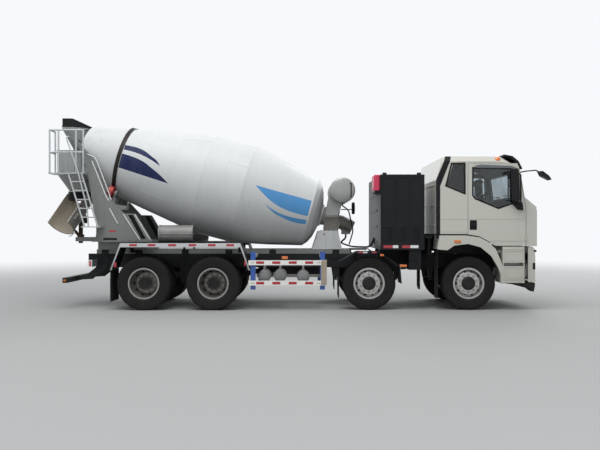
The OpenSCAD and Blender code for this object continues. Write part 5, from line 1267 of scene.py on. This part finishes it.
# Discharge chute. A half-round steel trough on a pin, its lips rolled and bright from wear, banded
# outside, tan inside from dried concrete; it swings on a dark brown post with a screw jack.
trough_steel = coat("trough_steel", (0.3, 0.285, 0.26), 0.5, metal=0.35, cloud=0.3, cloud_scale=5, grain=0.7,
    grain_scale=60, streak=0.4)
dress(trough_steel, "chute")
post_brown = coat("post_brown_paint", (0.085, 0.055, 0.042), 0.5, cloud=0.3, cloud_scale=6, grain=0.4)
dress(post_brown, "chute_post")
slew_rest, luff_rest, above_pin = 60, 50, 0.23
slewed = Matrix.Translation(post_foot) @ Matrix.Rotation(math.radians(180 + slew_rest), 4, "Z")
sloped = slewed @ Matrix.Translation((0.175, 0, 2.11)) @ Matrix.Rotation(math.radians(90 + luff_rest), 4, "Y")
sloped = sloped @ Matrix.Translation((0, 0, -above_pin))
trough = []
for y in (-0.2935, 0.2935):
    trough.append(strip_run([(-0.088, y, 0.004), (-0.088, y, 0.806)], 0.009))
for y, out in ((-0.292, -0.332), (0.292, 0.332)):
    trough.append(strip_run(bent([(-0.02, y, 0.5), (-0.02, out, 0.5), (-0.02, out, 0.66), (-0.02, y, 0.66)], 0.02),
        0.007))


def trough_arc(r, end, steps):
    """The trough's round section, with its ends drawn up a little."""
    arc = [(r * math.sin(a), -r * math.cos(a)) for a in [k * math.pi / steps for k in range(steps + 1)]]
    return [(end, -r)] + arc + [(end, r)]


for z in (0.004, 0.27, 0.54, 0.8):
    trough.append(strip_run([(x, y, z) for x, y in trough_arc(0.299, -0.085, 20)], 0.007))
trough = joined(trough)
trough.data.transform(sloped)
lip_bright = coat("lip_worn_steel", (0.52, 0.51, 0.48), 0.36, metal=0.7, cloud=0.2, cloud_scale=9, grain=0.4)
fit("trough_lips", [trough], lip_bright, "chute_body")
inner = trough_arc(0.287, -0.086, 24)
outline = inner + [(x * 0.988 if x > 0 else x, y * 0.988) for x, y in reversed(inner)]
skin = drawn([(x, y, 0.01) for x, y in outline], (0, 0, 0.79))
skin.data.transform(sloped)
concrete = coat("dried_concrete", (0.42, 0.37, 0.295), 0.85, cloud=0.3, cloud_scale=6, grain=1.0, grain_scale=45)
fit("trough_lining", [skin], concrete, "chute_body")
screw = []
for k in range(9):
    s = 0.012 + 0.01 * k
    screw.append(turned([(s, 0.016), (s + 0.003, 0.0215), (s + 0.006, 0.016)], (0.12, 0, 1.52), (1, 0, 1), 24))
screw.append(strip_run(bent([(0.1, -0.028, 1.5), (0.1, -0.11, 1.5), (0.16, -0.11, 1.44), (0.16, -0.18, 1.44)], 0.02),
    0.008))
screw = joined(screw)
screw.data.transform(slewed)
fit("jack_screw", [screw], post_brown, "chute_swivel")
collar = turned([(1.4463, 0.046), (1.4463, 0.074), (1.47, 0.074), (1.474, 0.07), (1.474, 0.046)], post_foot,
    (0, 0, 1), 40)
fit("post_collar", [collar], post_brown, "chute_swivel")
